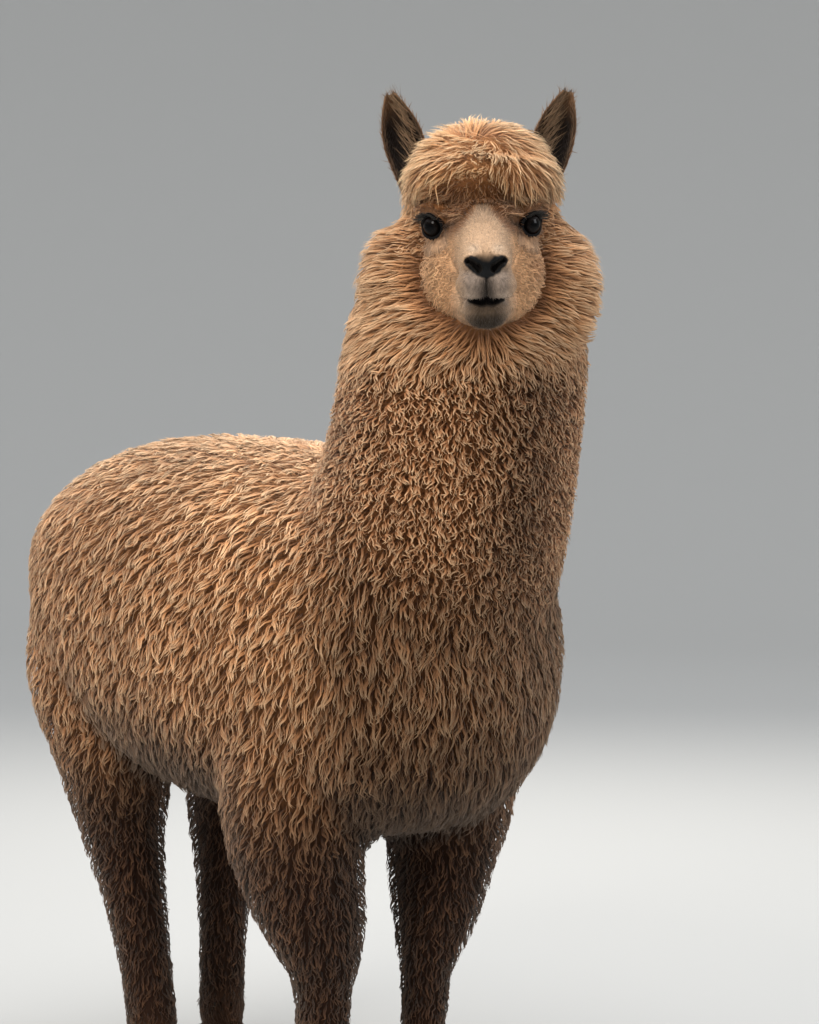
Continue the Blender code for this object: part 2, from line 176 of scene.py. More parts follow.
# The head's own axes: X to its left, Y to its back, Z up, with the origin between the eyes.
EYES_FORWARD = 0.005    # the eyeballs' centres lie this far in front of the origin
EYE_HEIGHTS = [corner.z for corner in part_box("eye_left")]
EYE_RADIUS = (EYE_HEIGHTS[1] - EYE_HEIGHTS[0]) / 2
between_eyes = middle("eye_left") - middle("eye_right")
EYE_ACROSS = between_eyes.length / 2
head_left = between_eyes.normalized()
head_back = Vector((0, 0, 1)).cross(head_left).normalized()
HEAD = Matrix((head_left, head_back, head_left.cross(head_back))).transposed().to_4x4()
HEAD.translation = (middle("eye_left") + middle("eye_right")) / 2 + head_back * EYES_FORWARD
HEAD_TURN = np.array(HEAD.to_3x3())
HEAD_PLACE = np.array(HEAD.translation)


def to_head(points):
    """World points in the head's axes."""
    return (points - HEAD_PLACE) @ HEAD_TURN


def from_head(points):
    """Points in the head's axes, in the world."""
    return points @ HEAD_TURN.T + HEAD_PLACE


def bare_face(points):
    """1 on the short-haired face, 0 in the wool around it; in the head's axes."""
    x, y, z = points.T
    wide = np.abs(x)
    front = (wide / 0.078) ** 2.6 + (np.abs(z + 0.056) / 0.080) ** 2.6
    around_eye = ((wide - 0.068) / 0.024) ** 2 + ((z + 0.002) / 0.026) ** 2
    brow_line = 0.027 - 1.15 * np.clip(wide - 0.006, 0.0, 0.016)
    face = (1 - ease(0.85, 1.10, front)) * (1 - ease(-0.004, 0.005, z - brow_line))
    lids = 1 - ease(0.85, 1.10, around_eye)
    chin = ease(-0.065, -0.085, y) * (z < -0.04)
    return np.maximum(np.maximum(face, lids), chin) * (1 - ease(0.022, 0.048, y))


def coat_depth(points):
    """How far the skin lies below the tips of the coat; world points."""
    _, along, height = points.T
    head = to_head(points)
    crown = ease(0.02, 0.09, head[:, 2]) * ease(1.12, 1.2, height)
    depth = np.interp(height, LEG_HEIGHTS, LEG_DEPTHS) + 0.008 * crown
    fringe = ease(0.03, -0.01, head[:, 1]) * ease(0.02, 0.05, head[:, 2])
    tail = ease(0.53, 0.56, along) * ease(0.86, 0.80, height)
    return depth * (1 - 0.45 * fringe * (height > 1.12)) * (1 - 0.3 * tail)


shape = bmesh.new()
add_solids(shape, [name for name in FLESH if not name.startswith("ear")] + ["eye_right", "eye_left"], BUTT)
for way in (-1, 1):     # the sockets of the ears are filled in
    x, y, z = EAR_SOCKET
    filling = HEAD @ Matrix.Translation((way * x, y, z)) @ Matrix.Diagonal((*EAR_SOCKET_RADII, 1.0))
    bmesh.ops.create_uvsphere(shape, u_segments=24, v_segments=14, radius=1.0, matrix=filling)
skin = fused("skin", shape, FUSE_GRID, BODY_ROUNDS)
places, outward = read(skin.data), read(skin.data, "normal")
head = to_head(places)
sink = np.maximum(coat_depth(places), FACE_SINK * bare_face(head))
fringe_hollow = bell(head[:, 2] - 0.070, 0.017) * ease(0.03, -0.01, head[:, 1])
sink -= HOLLOW_FILL * fringe_hollow * (places[:, 2] > 1.1)
sink = np.maximum(sink, FOOT_SINK * ease(0.088, 0.070, places[:, 2]))
write(skin.data, places - outward * sink[:, None])
soften(skin, SUNK_ROUNDS)

# ---- Skin, feet: two soft pads on a flat sole, each with the socket of its nail. The hide is thin
# and the hair short, so the skin lies close to the solids.
FOOT_GRID = 0.0030
FOOT_HEIGHTS = [0.0, 0.03, 0.070, 0.085]
FOOT_DEPTHS = [0.0015, 0.0018, 0.0030, 0.0052]
SOLE = 0.0012           # what lies lower than this is laid on the floor
foot_shape = bmesh.new()
add_solids(foot_shape, [name for name in FLESH if name.endswith("foot")], 0.0)
feet = fused("feet", foot_shape, FOOT_GRID, 2)
places, outward = read(feet.data), read(feet.data, "normal")
on_floor = places[:, 2] < SOLE
places -= outward * np.interp(places[:, 2], FOOT_HEIGHTS, FOOT_DEPTHS)[:, None]
places[:, 2] = np.where(on_floor, 0.0, np.maximum(places[:, 2], 0.0))
write(feet.data, places)

# ---- Skin, head: brow, muzzle, jaw, lips and the rims of the eye sockets, under hair a few
# millimetres long. The forms are fused and the folds are then pressed into the fine surface.
FACE_GRID = 0.0024
FACE_ROUNDS = 9
MUZZLE = [              # (y, z, half width, half depth) from the brow to the nose, head axes
    (0.085, -0.010, 0.064, 0.064),
    (0.055, -0.004, 0.072, 0.066),
    (0.015, -0.010, 0.064, 0.058),
    (-0.020, -0.018, 0.048, 0.051),
    (-0.055, -0.034, 0.0385, 0.0445),
    (-0.090, -0.046, 0.0335, 0.0395),
    (-0.122, -0.056, 0.0325, 0.0345),
    (-0.147, -0.061, 0.0295, 0.0285),
    (-0.1585, -0.063, 0.0180, 0.0190),
]
JAW = [
    (0.070, -0.075, 0.054, 0.048),
    (0.020, -0.088, 0.054, 0.040),
    (-0.045, -0.100, 0.0385, 0.0305),
    (-0.090, -0.1080, 0.0320, 0.0240),
    (-0.120, -0.1150, 0.0280, 0.0185),
    (-0.138, -0.1165, 0.0210, 0.0130),
    (-0.147, -0.1165, 0.0120, 0.0075),
]
LOFT_SIDES = 32


def loft(shape, stations, fullness):
    """Adds a closed tube through stations; a fullness over 2 squares its section."""
    centres = [Vector((0.0, y, z)) for y, z, _, _ in stations]
    last = len(stations) - 1
    rings = []
    for i, (_, _, half_width, half_depth) in enumerate(stations):
        along = (centres[min(i + 1, last)] - centres[max(i - 1, 0)]).normalized()
        deep_way = along.cross(Vector((1, 0, 0))).normalized()
        wide_way = deep_way.cross(along)
        ring = bmesh.ops.create_circle(shape, segments=LOFT_SIDES, radius=1.0)["verts"]
        for vert in ring:
            c, s = vert.co.x, vert.co.y
            wide = math.copysign(abs(c) ** (2 / fullness), c) * half_width
            deep = math.copysign(abs(s) ** (2 / fullness), s) * half_depth
            vert.co = HEAD @ (centres[i] + wide_way * wide + deep_way * deep)
        rings.append(list(dict.fromkeys(edge for vert in ring for edge in vert.link_edges)))
    for near, far in zip(rings, rings[1:]):
        bmesh.ops.bridge_loops(shape, edges=near + far)
    for ring in (rings[0], rings[-1]):
        bmesh.ops.holes_fill(shape, edges=ring, sides=LOFT_SIDES)
    bmesh.ops.recalc_face_normals(shape, faces=shape.faces)


def ball(shape, centre, radii):
    """Adds an ellipsoid in the head's axes."""
    matrix = HEAD @ Matrix.Translation(centre) @ Matrix.Diagonal((*radii, 1.0))
    bmesh.ops.create_uvsphere(shape, u_segments=36, v_segments=22, radius=1.0, matrix=matrix)


face = bmesh.new()
loft(face, MUZZLE, 2.3)
loft(face, JAW, 2.2)
ball(face, (0, 0.008, -0.062), (0.0750, 0.0545, 0.0725))            # cheeks
ball(face, (0, -0.1350, -0.074), (0.0345, 0.0245, 0.0300))          # flesh between nose and lip
ball(face, (0, -0.1200, -0.118), (0.0265, 0.0240, 0.0185))          # chin
for way in (-1, 1):
    ball(face, (way * 0.0175, -0.1355, -0.083), (0.0205, 0.0255, 0.0205))   # upper lip
    ball(face, (way * 0.017, -0.1490, -0.056), (0.0125, 0.0125, 0.0118))    # nostril wing
    ball(face, (way * 0.053, 0.004, 0.022), (0.026, 0.026, 0.014))          # brow
    ball(face, (way * EYE_ACROSS, -EYES_FORWARD, 0.0), (EYE_RADIUS + 0.0022,) * 3)      # lids
    ball(face, (way * 0.044, 0.004, -0.030), (0.0280, 0.0330, 0.0300))      # cheekbone below the eye
head_skin = fused("head_skin", face, FACE_GRID, FACE_ROUNDS)

for slack in (0.003, -0.001):       # the muzzle's front and the lids are split twice, for finer folds
    fine = bmesh.new()
    fine.from_mesh(head_skin.data)
    x, y, z = to_head(np.array([vert.co[:] for vert in fine.verts])).T
    muzzle = (y < -0.085 + slack) & (z < -0.030 + slack)
    eyes = np.hypot(np.hypot(np.abs(x) - EYE_ACROSS - 0.006, y + 0.012), z) < 0.026 + slack
    wanted = muzzle | (eyes & (np.abs(x) > 0.03))
    edges = [e for e in fine.edges if wanted[e.verts[0].index] and wanted[e.verts[1].index]]
    bmesh.ops.subdivide_edges(fine, edges=edges, cuts=1, use_grid_fill=True, smooth=0.0)
    bmesh.ops.triangulate(fine, faces=[f for f in fine.faces if len(f.verts) > 4])
    fine.to_mesh(head_skin.data)
    fine.free()

# Lids: each opens as an almond over its eyeball, which looks outward and a little forward.
GAZE_OUT = math.radians(41)
GAZE_UP = math.radians(-7)
LID = 0.0024            # thickness of a lid
INNER, OUTER, UPPER, LOWER = (math.radians(a) for a in (52, 56, 44, 42))
ALMOND = 1.9            # power of its outline; 2 is an ellipse


def unit(ways):
    """Directions made one metre long."""
    return ways / (np.linalg.norm(ways, axis=-1, keepdims=True) + 1e-9)


def gaze(way):
    """An eyeball's centre and its ways ahead and towards the nose, in the head's axes."""
    centre = np.array((way * EYE_ACROSS, -EYES_FORWARD, 0.0))
    ahead = np.array((way * math.sin(GAZE_OUT), -math.cos(GAZE_OUT), math.sin(GAZE_UP)))
    return centre, ahead, np.array((-way * math.cos(GAZE_OUT), -math.sin(GAZE_OUT), 0.0))


def eye_view(points, way):
    """Distance from one eye's centre, and where each point lies against the lids' opening.

    The second value is about -1 at the middle of the opening, 0 on the lid's edge and grows outward,
    in units of a lid's height. Then come the angles upwards and towards the nose, and the direction.
    """
    centre, ahead, inward = gaze(way)
    ahead /= np.linalg.norm(ahead)
    upward = np.cross(inward, ahead) * way
    distance = np.linalg.norm(points - centre, axis=1) + 1e-9
    ray = (points - centre) / distance[:, None]
    aside = np.arctan2(ray @ inward, ray @ ahead)
    above = np.arcsin(np.clip(ray @ upward, -1, 1)) + 0.10 * aside      # the inner corner lies lower
    across = aside / np.where(aside > 0, INNER, OUTER)
    tall = above / np.where(above > 0, UPPER, LOWER)
    almond = (np.abs(across) ** ALMOND + np.abs(tall) ** ALMOND) ** (1 / ALMOND)
    return distance, np.where(ray @ ahead < -0.2, 9.0, almond) - 1.0, above, aside, ray


def press_lids(points):
    """Opens the lids over both eyeballs."""
    for way in (-1, 1):
        distance, out, above, _, ray = eye_view(points, way)
        upper = ease(-0.1, 0.2, above)
        rim = EYE_RADIUS + 0.0005 + LID * ease(0.0, 0.16, out)
        fold = 0.0012 * upper * bell(out - 0.34, 0.07)
        bag = 0.0008 * (1 - upper) * bell(out - 0.42, 0.10)
        lid = rim - fold - bag + 0.0012 * upper * ease(0.05, 0.2, out)
        hidden = EYE_RADIUS - 0.0015 - 0.005 * ease(0.0, 0.4, -out)
        eased = distance + (lid - distance) * (1 - ease(0.30, 0.85, out))
        new = np.where(out < 0, np.minimum(distance, hidden), eased)
        close = distance < EYE_RADIUS + 0.016
        points = np.where(close[:, None], gaze(way)[0] + ray * new[:, None], points)
    return points


MOUTH_FRONT, MOUTH_LENGTH = -0.150, 0.070       # where the lips start, and how far back they run


def along_mouth(y):
    """0 at the front of the lips, 1 at the corners of the mouth."""
    return np.clip((y - MOUTH_FRONT) / MOUTH_LENGTH, 0.0, 1.0)


def mouth_height(points):
    """Height of the line between the lips, which rises towards the corners of the mouth."""
    return -0.1045 + 0.0165 * along_mouth(points[:, 1]) + 0.0022 * bell(points[:, 0], 0.0045)


def in_gap(points, droop, soft, hard):
    """1 in the gap between the lips, which is tallest in the middle, where it droops by so much."""
    above = 0.0040 - 0.0026 * along_mouth(points[:, 1])
    below = above + droop * bell(points[:, 0], 0.015)
    level = points[:, 2] - mouth_height(points)
    return ease(soft, hard, np.maximum(level / above, -level / below))


def nostril(points, way):
    """1 in the middle of a nostril, 0 outside: a comma that slants up and outward."""
    x, y, z = points[:, 0] * way, points[:, 1], points[:, 2]
    along = np.clip((x - 0.0110) / 0.0115, 0.0, 1.0)
    away = np.hypot(x - 0.0110 - 0.0115 * along, z + 0.0640 - 0.0095 * along ** 0.8)
    return ease(1.0, 0.35, away / (0.0076 - 0.0020 * along)) * (y < -0.118)


def press_folds(points, outward):
    """Nostrils, the cleft of the upper lip, the mouth and the edge of the nose leather."""
    x, y, z = points.T
    push = np.zeros(len(points))
    for way in (-1, 1):
        wing = np.hypot((x * way - 0.021) / 0.010, (z + 0.0525) / 0.006)
        push += 0.0105 * nostril(points, way) - 0.0012 * bell(wing, 1) * (y < -0.12)
    front = ease(-0.125, -0.140, y)
    push += 0.0030 * bell(x, 0.0019) * ease(-0.074, -0.080, z) * ease(-0.106, -0.100, z) * front
    push -= 0.0016 * bell(np.abs(x) - 0.016, 0.010) * bell(z + 0.088, 0.010) * front    # lip cushions
    push += (0.0075 - 0.0050 * along_mouth(y)) * in_gap(points, 0.0045, 1.0, 0.2) * (y < -0.078)
    below_lip = bell(z - mouth_height(points) + 0.0125, 0.005)
    push += 0.0014 * below_lip * ease(-0.09, -0.12, y)
    seam = np.abs(np.abs(x) - 0.0335) / 0.004 + 4 * np.abs(ease(-0.104, -0.118, y) - 1)
    push += 0.0010 * bell(seam, 1) * ease(-0.02, -0.04, z)
    inward = -outward
    inward[:, 1] += 0.8 * (push > 0.004)
    return points + unit(inward) * push[:, None]


outward = read(head_skin.data, "normal") @ HEAD_TURN
points = press_lids(press_folds(to_head(read(head_skin.data)), outward))
write(head_skin.data, from_head(points))

# ---- Skin, ears: tall spears of thin gristle, cupped forwards, that grow out of the sides of the
# crown. Each is skinned from rings of points, and all the skins then join into one.
EAR_LENGTH = 0.178
EAR_ROOT = (0.071, 0.085, 0.008)
EAR_LEANS = {-1: math.radians(14), 1: math.radians(16)}
EAR_TURN = math.radians(6)
EAR_HALF_WIDTHS = [0.0130, 0.0165, 0.0195, 0.0228, 0.0262, 0.0280, 0.0256, 0.0186, 0.0072]
EAR_WALL = 0.0026
EAR_BOW = 0.018
EAR_CUP = 0.80
EAR_AROUND, EAR_ROWS = 18, 40


def ear_place(way):
    """Where an ear stands: its root, lean and turn."""
    lean = Matrix.Rotation(way * EAR_LEANS[way], 4, "Y")
    turn = Matrix.Rotation(way * EAR_TURN, 4, "Z")
    return HEAD @ Matrix.Translation((way * EAR_ROOT[0], EAR_ROOT[1], EAR_ROOT[2])) @ lean @ turn


def ear_half(share):
    """Half width of the ear at a share of its height."""
    return np.interp(share * 8, range(9), EAR_HALF_WIDTHS)


def even_half(share):
    """The same without kinks, but for the pointed tip."""
    near = 0.06 if share < 0.93 else 0.0
    return float(ear_half(share + np.linspace(-near, near, 7)).mean())


def ear_point(share, angle, inset):
    """A point of the ear's shell: share from root to tip, angle round the cup, inset into it."""
    half = even_half(share) - inset
    arch = math.sin(math.pi * share)
    depth = EAR_CUP * (half + 0.0010 * math.sin(3 * angle) * arch) * math.sin(angle) + EAR_BOW * arch
    return Vector((half * math.cos(angle), depth, EAR_LENGTH * share))


ears = bmesh.new()
for way in (-1, 1):
    place = ear_place(way)
    rings = []
    for row in range(EAR_ROWS + 1):
        share = row / EAR_ROWS
        wall = min(EAR_WALL, 0.5 * even_half(share))
        angles = [math.pi * k / EAR_AROUND for k in range(EAR_AROUND + 1)]
        shell = [ear_point(share, angle, 0.0) for angle in angles]
        shell += [ear_point(share, angle, wall) for angle in reversed(angles)]
        ring = [ears.verts.new(place @ point) for point in shell]
        rings.append([ears.edges.new(pair) for pair in zip(ring, ring[1:] + ring[:1])])
    for near, far in zip(rings, rings[1:]):
        bmesh.ops.bridge_loops(ears, edges=near + far)
    for ring in (rings[0], rings[-1]):
        bmesh.ops.holes_fill(ears, edges=ring, sides=0)
bmesh.ops.triangulate(ears, faces=ears.faces)
bmesh.ops.recalc_face_normals(ears, faces=ears.faces)
ear_skin = made_of("ear_skin", ears)

face_places, ear_places = read(head_skin.data), read(ear_skin.data)
for part in (feet, head_skin, ear_skin):
    union = skin.modifiers.new("union", "BOOLEAN")
    union.operation = "UNION"
    union.solver = "MANIFOLD"
    union.object = part
    settled(skin)
    bpy.data.objects.remove(part)
skin.data.shade_smooth()

# ---- The skin's unwrap and its colours: bay wool, paler on the back by weather and by painted top light,
# dark legs, partly by painted shade, a belly darkened by painted shade, a pale face with grey lips and
# black leather. The same formulas of place colour the coat above it.
bpy.context.view_layer.objects.active = skin
skin.select_set(True)
bpy.ops.object.mode_set(mode="EDIT")
bpy.ops.mesh.select_all(action="SELECT")
bpy.ops.mesh.quads_convert_to_tris()
bpy.ops.uv.smart_project(angle_limit=math.radians(66), island_margin=0.002)
bpy.ops.object.mode_set(mode="OBJECT")
skin.data.uv_layers[0].name = "OFBake"


def srgb(*levels):
    """A colour from 0 to 255 levels, in linear light."""
    share = np.array(levels, float) / 255
    return np.where(share <= 0.04045, share / 12.92, ((share + 0.055) / 1.055) ** 2.4)


ROOT, MIDDLE, TIP = 0, 1, 2
# Each wool has root, middle and tip colours; the roots are darker partly by their own tone and partly as
# painted shade deep in the fleece.
TRUNK_WOOL = [srgb(96, 57, 32), srgb(182, 122, 74), srgb(226, 184, 140)]
BLEACHED_AND_TOP_LIT = [srgb(128, 81, 49), srgb(202, 149, 104), srgb(232, 194, 152)]       # painted top light where the wool faces up on the back, and tips paled by weather
NECK_WOOL = [srgb(50, 30, 18), srgb(168, 108, 64), srgb(232, 190, 146)]
CROWN_WOOL = [srgb(176, 112, 66), srgb(212, 153, 101), srgb(234, 196, 150)]
RUFF_WOOL = [srgb(124, 78, 46), srgb(190, 134, 88), srgb(224, 184, 142)]
LEG_WOOL = [srgb(28, 17, 11), srgb(74, 45, 27), srgb(118, 79, 50)]
SHADE_UNDER_FRINGE = srgb(132, 82, 45)
FACE_HAIR = srgb(222, 170, 124)
BRIDGE_HAIR = srgb(176, 146, 118)
LIP_HAIR = srgb(138, 121, 107)
SHADED_CHIN_HAIR = srgb(60, 48, 36)
CLEFT_SHADE = srgb(42, 37, 33)
NOSTRIL_RIM = srgb(206, 194, 176)
SHADED_BROW_HAIR = srgb(116, 76, 47)
BROW_CREASE_SHADE = srgb(40, 26, 18)
CHEEK_SPOT = srgb(150, 92, 52)
BELOW_EYE = srgb(150, 128, 110)
LEATHER = srgb(15, 16, 17)
HOLLOW_SHADE = srgb(16, 12, 11)
LID_EDGE = srgb(9, 7, 7)
EAR_OUTSIDE = srgb(104, 74, 50)
EAR_INSIDE = srgb(32, 26, 23)
EAR_TIP = srgb(150, 116, 86)
EAR_EDGE = srgb(140, 106, 76)
EAR_STRAND = srgb(134, 106, 78)
FOOT_HAIR = srgb(74, 48, 31)


def ripple(points, scale, seed):
    """Soft noise between about -1 and 1, as a sum of waves in drawn directions."""
    draw = np.random.default_rng(seed)
    total = np.zeros(len(points))
    for _ in range(7):
        way = draw.normal(size=3)
        steps = points @ way * (scale / np.linalg.norm(way)) * draw.uniform(0.6, 1.7)
        total += np.sin(steps + draw.uniform(0, 6.28))
    return total / 3.2


def blend(first, second, share):
    """Mixes two colours, or arrays of colours, point by point."""
    share = np.asarray(share)[..., None]
    return first * (1 - share) + second * share


def neck_height(points):
    """Height as the foot of the neck sees it: the breast counts as higher than the flanks."""
    return points[:, 2] + 0.6 * (-0.25 - points[:, 1])


def wool_shades(points, upward, layer):
    """Colour of the wool at its root, middle or tip; world points, and how far each faces upward."""
    head = to_head(points)
    across, along, height = points.T
    # The legs' wool is darker, by its own tone and by painted shade low on the body.
    shade = blend(TRUNK_WOOL[layer], LEG_WOOL[layer], ease(0.68, 0.36, height))
    # Painted shade: darker low on the body near its middle, between the legs.
    shade = shade * (1 - 0.35 * ease(0.60, 0.42, height) * ease(0.24, 0.10, np.abs(across)))[:, None]
    # Painted top light: wool that faces up on the back is paler, which stands also for tips paled by
    # weather.
    shade = blend(shade, BLEACHED_AND_TOP_LIT[layer], 0.75 * ease(0.35, 0.95, upward) * (height > 0.7))
    # Painted shade: the front of the chest and the wool that faces down, under the belly, are darker.
    front = ease(-0.26, -0.36, along) * ease(0.98, 0.78, height) * (height > 0.4)
    belly = ease(-0.15, -0.65, upward) * (height > 0.4) * (height < 0.9)
    shade = shade * (1 - 0.62 * np.maximum(front, belly))[:, None]
    neck = ease(0.80, 0.98, neck_height(points)) * ease(-0.02, -0.14, along)
    shade = blend(shade, NECK_WOOL[layer], neck)
    # Painted light and shade on the neck: its sides a tenth lighter, the middle of its front darker.
    throat = bell(across - 0.01, 0.075) * ease(-0.26, -0.34, along)
    shade = shade * ((1.10 - 0.66 * throat) ** neck)[:, None]
    ruff = ease(-0.21, -0.13, head[:, 2]) * ease(0.20, 0.10, head[:, 1]) * (height > 1.0)
    shade = blend(shade, RUFF_WOOL[layer], ruff)
    shade = blend(shade, CROWN_WOOL[layer], ease(-0.01, 0.05, head[:, 2]))
    # Painted shade under the fringe: the wool there blends to a warm dark brown.
    fringe = ease(0.058, 0.040, head[:, 2]) * ease(-0.02, 0.01, head[:, 2]) * ease(0.04, 0.01, head[:, 1])
    shade = blend(shade, SHADE_UNDER_FRINGE, 0.7 * fringe * (height > 1.1))
    return shade * (1 + 0.10 * ripple(points, 14.0, 3) + 0.06 * ripple(points, 55.0, 4))[:, None]


BRIDGE_HEIGHTS = [-0.060, -0.030, -0.013, 0.001, 0.018, 0.026]
BRIDGE_HALF_WIDTHS = [0.037, 0.034, 0.036, 0.027, 0.010, 0.004]


def face_shades(head):
    """Colour of the short hair and bare skin of the face; head axes."""
    x, y, z = head.T
    wide = np.abs(x)
    bridge = ease(1.30, 0.60, wide / np.interp(z, BRIDGE_HEIGHTS, BRIDGE_HALF_WIDTHS)) * ease(0.03, 0.00, y)
    shade = blend(FACE_HAIR, BRIDGE_HAIR, bridge)
    muzzle = ease(0.058, 0.036, wide) * ease(-0.06, -0.10, y)
    shade = blend(shade, BRIDGE_HAIR * (1.0, 0.94, 0.86), 0.7 * muzzle)
    lip = ease(0.042, 0.020, wide) * ease(-0.052, -0.072, z) * ease(-0.085, -0.125, y)
    shade = blend(shade, LIP_HAIR, lip * (1 - 0.6 * ease(-0.104, -0.112, z)))
    puff = bell(wide - 0.019, 0.013) * bell(z + 0.0975, 0.0055) * (y < -0.11)
    shade = shade * (1 + 0.9 * puff)[:, None]
    # Below the mouth the chin's brown hair is darkened as painted shade under the lower lip.
    chin = ease(0.0010, -0.0040, z - mouth_height(head)) * ease(-0.05, -0.10, y) * ease(0.036, 0.010, wide)
    shade = blend(shade, SHADED_CHIN_HAIR, 0.9 * chin)
    # More painted shade under the jaw.
    shade = shade * (1 - 0.62 * ease(-0.114, -0.128, z) * ease(0.06, 0.02, wide))[:, None]
    over_nostril = bell(wide - 0.0150, 0.0075) * bell(z + 0.0400, 0.0060) * (y < -0.10)
    shade = blend(shade, NOSTRIL_RIM, 0.25 * over_nostril)
    # Brown hair beside the bridge, darkened as painted shade under the fringe.
    beside_bridge = ease(-0.006, 0.006, wide - 0.011 - 0.75 * np.maximum(0.012 - z, 0.0))
    shade = blend(shade, SHADED_BROW_HAIR, 0.9 * beside_bridge * ease(-0.026, -0.006, z))
    # Painted shade in the crease between the brow and the face.
    crease = bell(wide - 0.042, 0.010) * bell(z + 0.002 + 0.25 * (wide - 0.042), 0.0032)
    shade = blend(shade, BROW_CREASE_SHADE, 0.85 * crease)
    shade = blend(shade, CHEEK_SPOT, 0.7 * bell(x - 0.067, 0.009) * bell(z + 0.054, 0.013))
    for way in (-1, 1):
        distance, out, above = eye_view(head, way)[:3]
        trough = bell(out - 0.55, 0.45) * ease(0.1, -0.4, above) * (distance < 0.04)
        shade = blend(shade, BELOW_EYE, 0.6 * trough)
    # Painted shade in the groove that splits the upper lip.
    above_mouth = ease(-0.074, -0.080, z) * ease(-0.107, -0.102, z) * (y < -0.12)
    cleft = bell(x, 0.0088 + 0.0030 * ease(-0.080, -0.100, z)) * above_mouth
    shade = blend(shade, CLEFT_SHADE, 0.92 * cleft)
    return shade * (1 + 0.05 * ripple(head, 60.0, 8) + 0.04 * ripple(head, 160.0, 9))[:, None]


LEATHER_HALF_WIDTHS = [0.0, 0.006, 0.017, 0.025, 0.029]
LEATHER_RISE = [0.0, 0.0030, 0.0095, 0.0180, 0.0260]


def leather(head):
    """1 on the bare nose leather: two wings that meet in a point above the cleft."""
    x, y, z = head.T
    wide = np.abs(x)
    centre = bell(wide, 0.0085)
    ragged = 0.0008 * ripple(head, 700.0, 12)
    top = -0.0475 - 0.0010 * centre - 0.0060 * ease(0.019, 0.031, wide)
    edge = 0.0024 + 0.0052 * centre             # it fades into hair between the nostrils
    bottom = -0.0790 + np.interp(wide, LEATHER_HALF_WIDTHS, LEATHER_RISE)
    inside = np.minimum(z - bottom, (0.0290 - wide) * 0.8) + ragged
    return ease(-edge, edge * 1.3, top - z + ragged) * ease(-0.0022, 0.0030, inside) * (y < -0.115)


def mouth_gap(head):
    """1 where the gap between the lips is dark."""
    return in_gap(head, 0.0055, 1.25, 0.65) * (head[:, 1] < -0.082) * (np.abs(head[:, 0]) < 0.05)


def bare_marks(head, shade):
    """Adds leather, nostrils, mouth and lid edges to the colours of the face."""
    shade = blend(shade, LEATHER, leather(head))
    for way in (-1, 1):
        # Painted shade in the nostril.
        shade = blend(shade, HOLLOW_SHADE, ease(0.05, 0.5, nostril(head, way)))
        distance, out, above, aside = eye_view(head, way)[:4]
        close = distance < EYE_RADIUS + 0.012
        rim = 0.20 + 0.20 * bell(aside - 0.05, 0.7)
        edge = np.where(above > 0, ease(0.46, 0.24, out), ease(rim, rim - 0.16, out))
        shade = blend(shade, LID_EDGE, edge * close)
        corner = bell(aside - INNER * 1.12, 0.22) * bell(above + 0.05, 0.12)
        tail = bell(aside + OUTER * 1.25, 0.38) * bell(above - 0.34, 0.20)
        shade = blend(shade, LID_EDGE, np.clip(corner + 0.9 * tail, 0, 1) * close)
    # Painted shade in the gap between the lips.
    return blend(shade, HOLLOW_SHADE, mouth_gap(head))


def paint(thing, shades, name="coat"):
    """Stores one colour for each vertex."""
    layer = thing.data.color_attributes.new(name, "FLOAT_COLOR", "POINT")
    rgba = np.ones((len(thing.data.vertices), 4), np.float32)
    rgba[:, :3] = np.clip(shades, 0, 1)
    layer.data.foreach_set("color", rgba.ravel())


def same_places(points, others):
    """True for each point that is also among the others."""
    keys = {tuple(key) for key in np.round(others * 1e5).astype(int)}
    return np.array([tuple(key) in keys for key in np.round(points * 1e5).astype(int)])


def inside_ear(points, way):
    """For world points: share of the ear's height, whether in the cup's hollow, and the ear's axes."""
    local = np.c_[points, np.ones(len(points))] @ np.array(ear_place(way).inverted()).T
    share = np.clip(local[:, 2] / EAR_LENGTH, 0, 1)
    depth = (local[:, 1] - EAR_BOW * np.sin(math.pi * share)) / EAR_CUP
    return share, np.hypot(local[:, 0], depth) / ear_half(share) < 0.955 - 0.02 * share, local


SIDES = ((-1, "right"), (1, "left"))
skin_points, skin_normals = read(skin.data), read(skin.data, "normal")
skin_head = to_head(skin_points)
on_ear, on_face = same_places(skin_points, ear_places), same_places(skin_points, face_places)
bare = bare_face(skin_head) * on_face
# Under the wool the skin is painted shade: a dim mix of the wool's root and middle colours, so the gaps
# between locks look deep.
root_shades = wool_shades(skin_points, skin_normals[:, 2], ROOT)
shades = root_shades * 0.35 + wool_shades(skin_points, skin_normals[:, 2], MIDDLE) * 0.45
shades = blend(shades, bare_marks(skin_head, face_shades(skin_head)), bare)
for way, side in SIDES:
    share, hollow, local = inside_ear(skin_points, way)
    colour = np.where(hollow[:, None], EAR_INSIDE, EAR_OUTSIDE)
    colour = blend(colour, EAR_TIP, ease(0.75, 1.0, share) * 0.5)
    shades = np.where((on_ear & (skin_head[:, 0] * way > 0))[:, None], colour, shades)
paint(skin, blend(shades, FOOT_HAIR * 0.60, ease(0.110, 0.085, skin_points[:, 2])))


class Wire:
    """One shader socket. Operators on it add Math nodes, and add() puts in any other node."""

    def __init__(self, tree, socket=None):
        self.tree, self.socket = tree, socket

    def add(self, kind, settings=(), sockets=(), out=0):
        """Adds a node: its settings first, then its sockets by name or number."""
        node = self.tree.nodes.new(kind)
        for name, value in dict(settings).items():
            setattr(node, name, value)
        for name, value in dict(sockets).items():
            if isinstance(value, Wire):
                self.tree.links.new(value.socket, node.inputs[name])
            else:
                node.inputs[name].default_value = value
        return Wire(self.tree, node.outputs[out])

    def math(self, operation, *values):
        return self.add("ShaderNodeMath", {"operation": operation}, dict(enumerate(values)))

    def __add__(self, other):
        return self.math("ADD", self, other)

    def __mul__(self, other):
        return self.math("MULTIPLY", self, other)

    __radd__, __rmul__ = __add__, __mul__


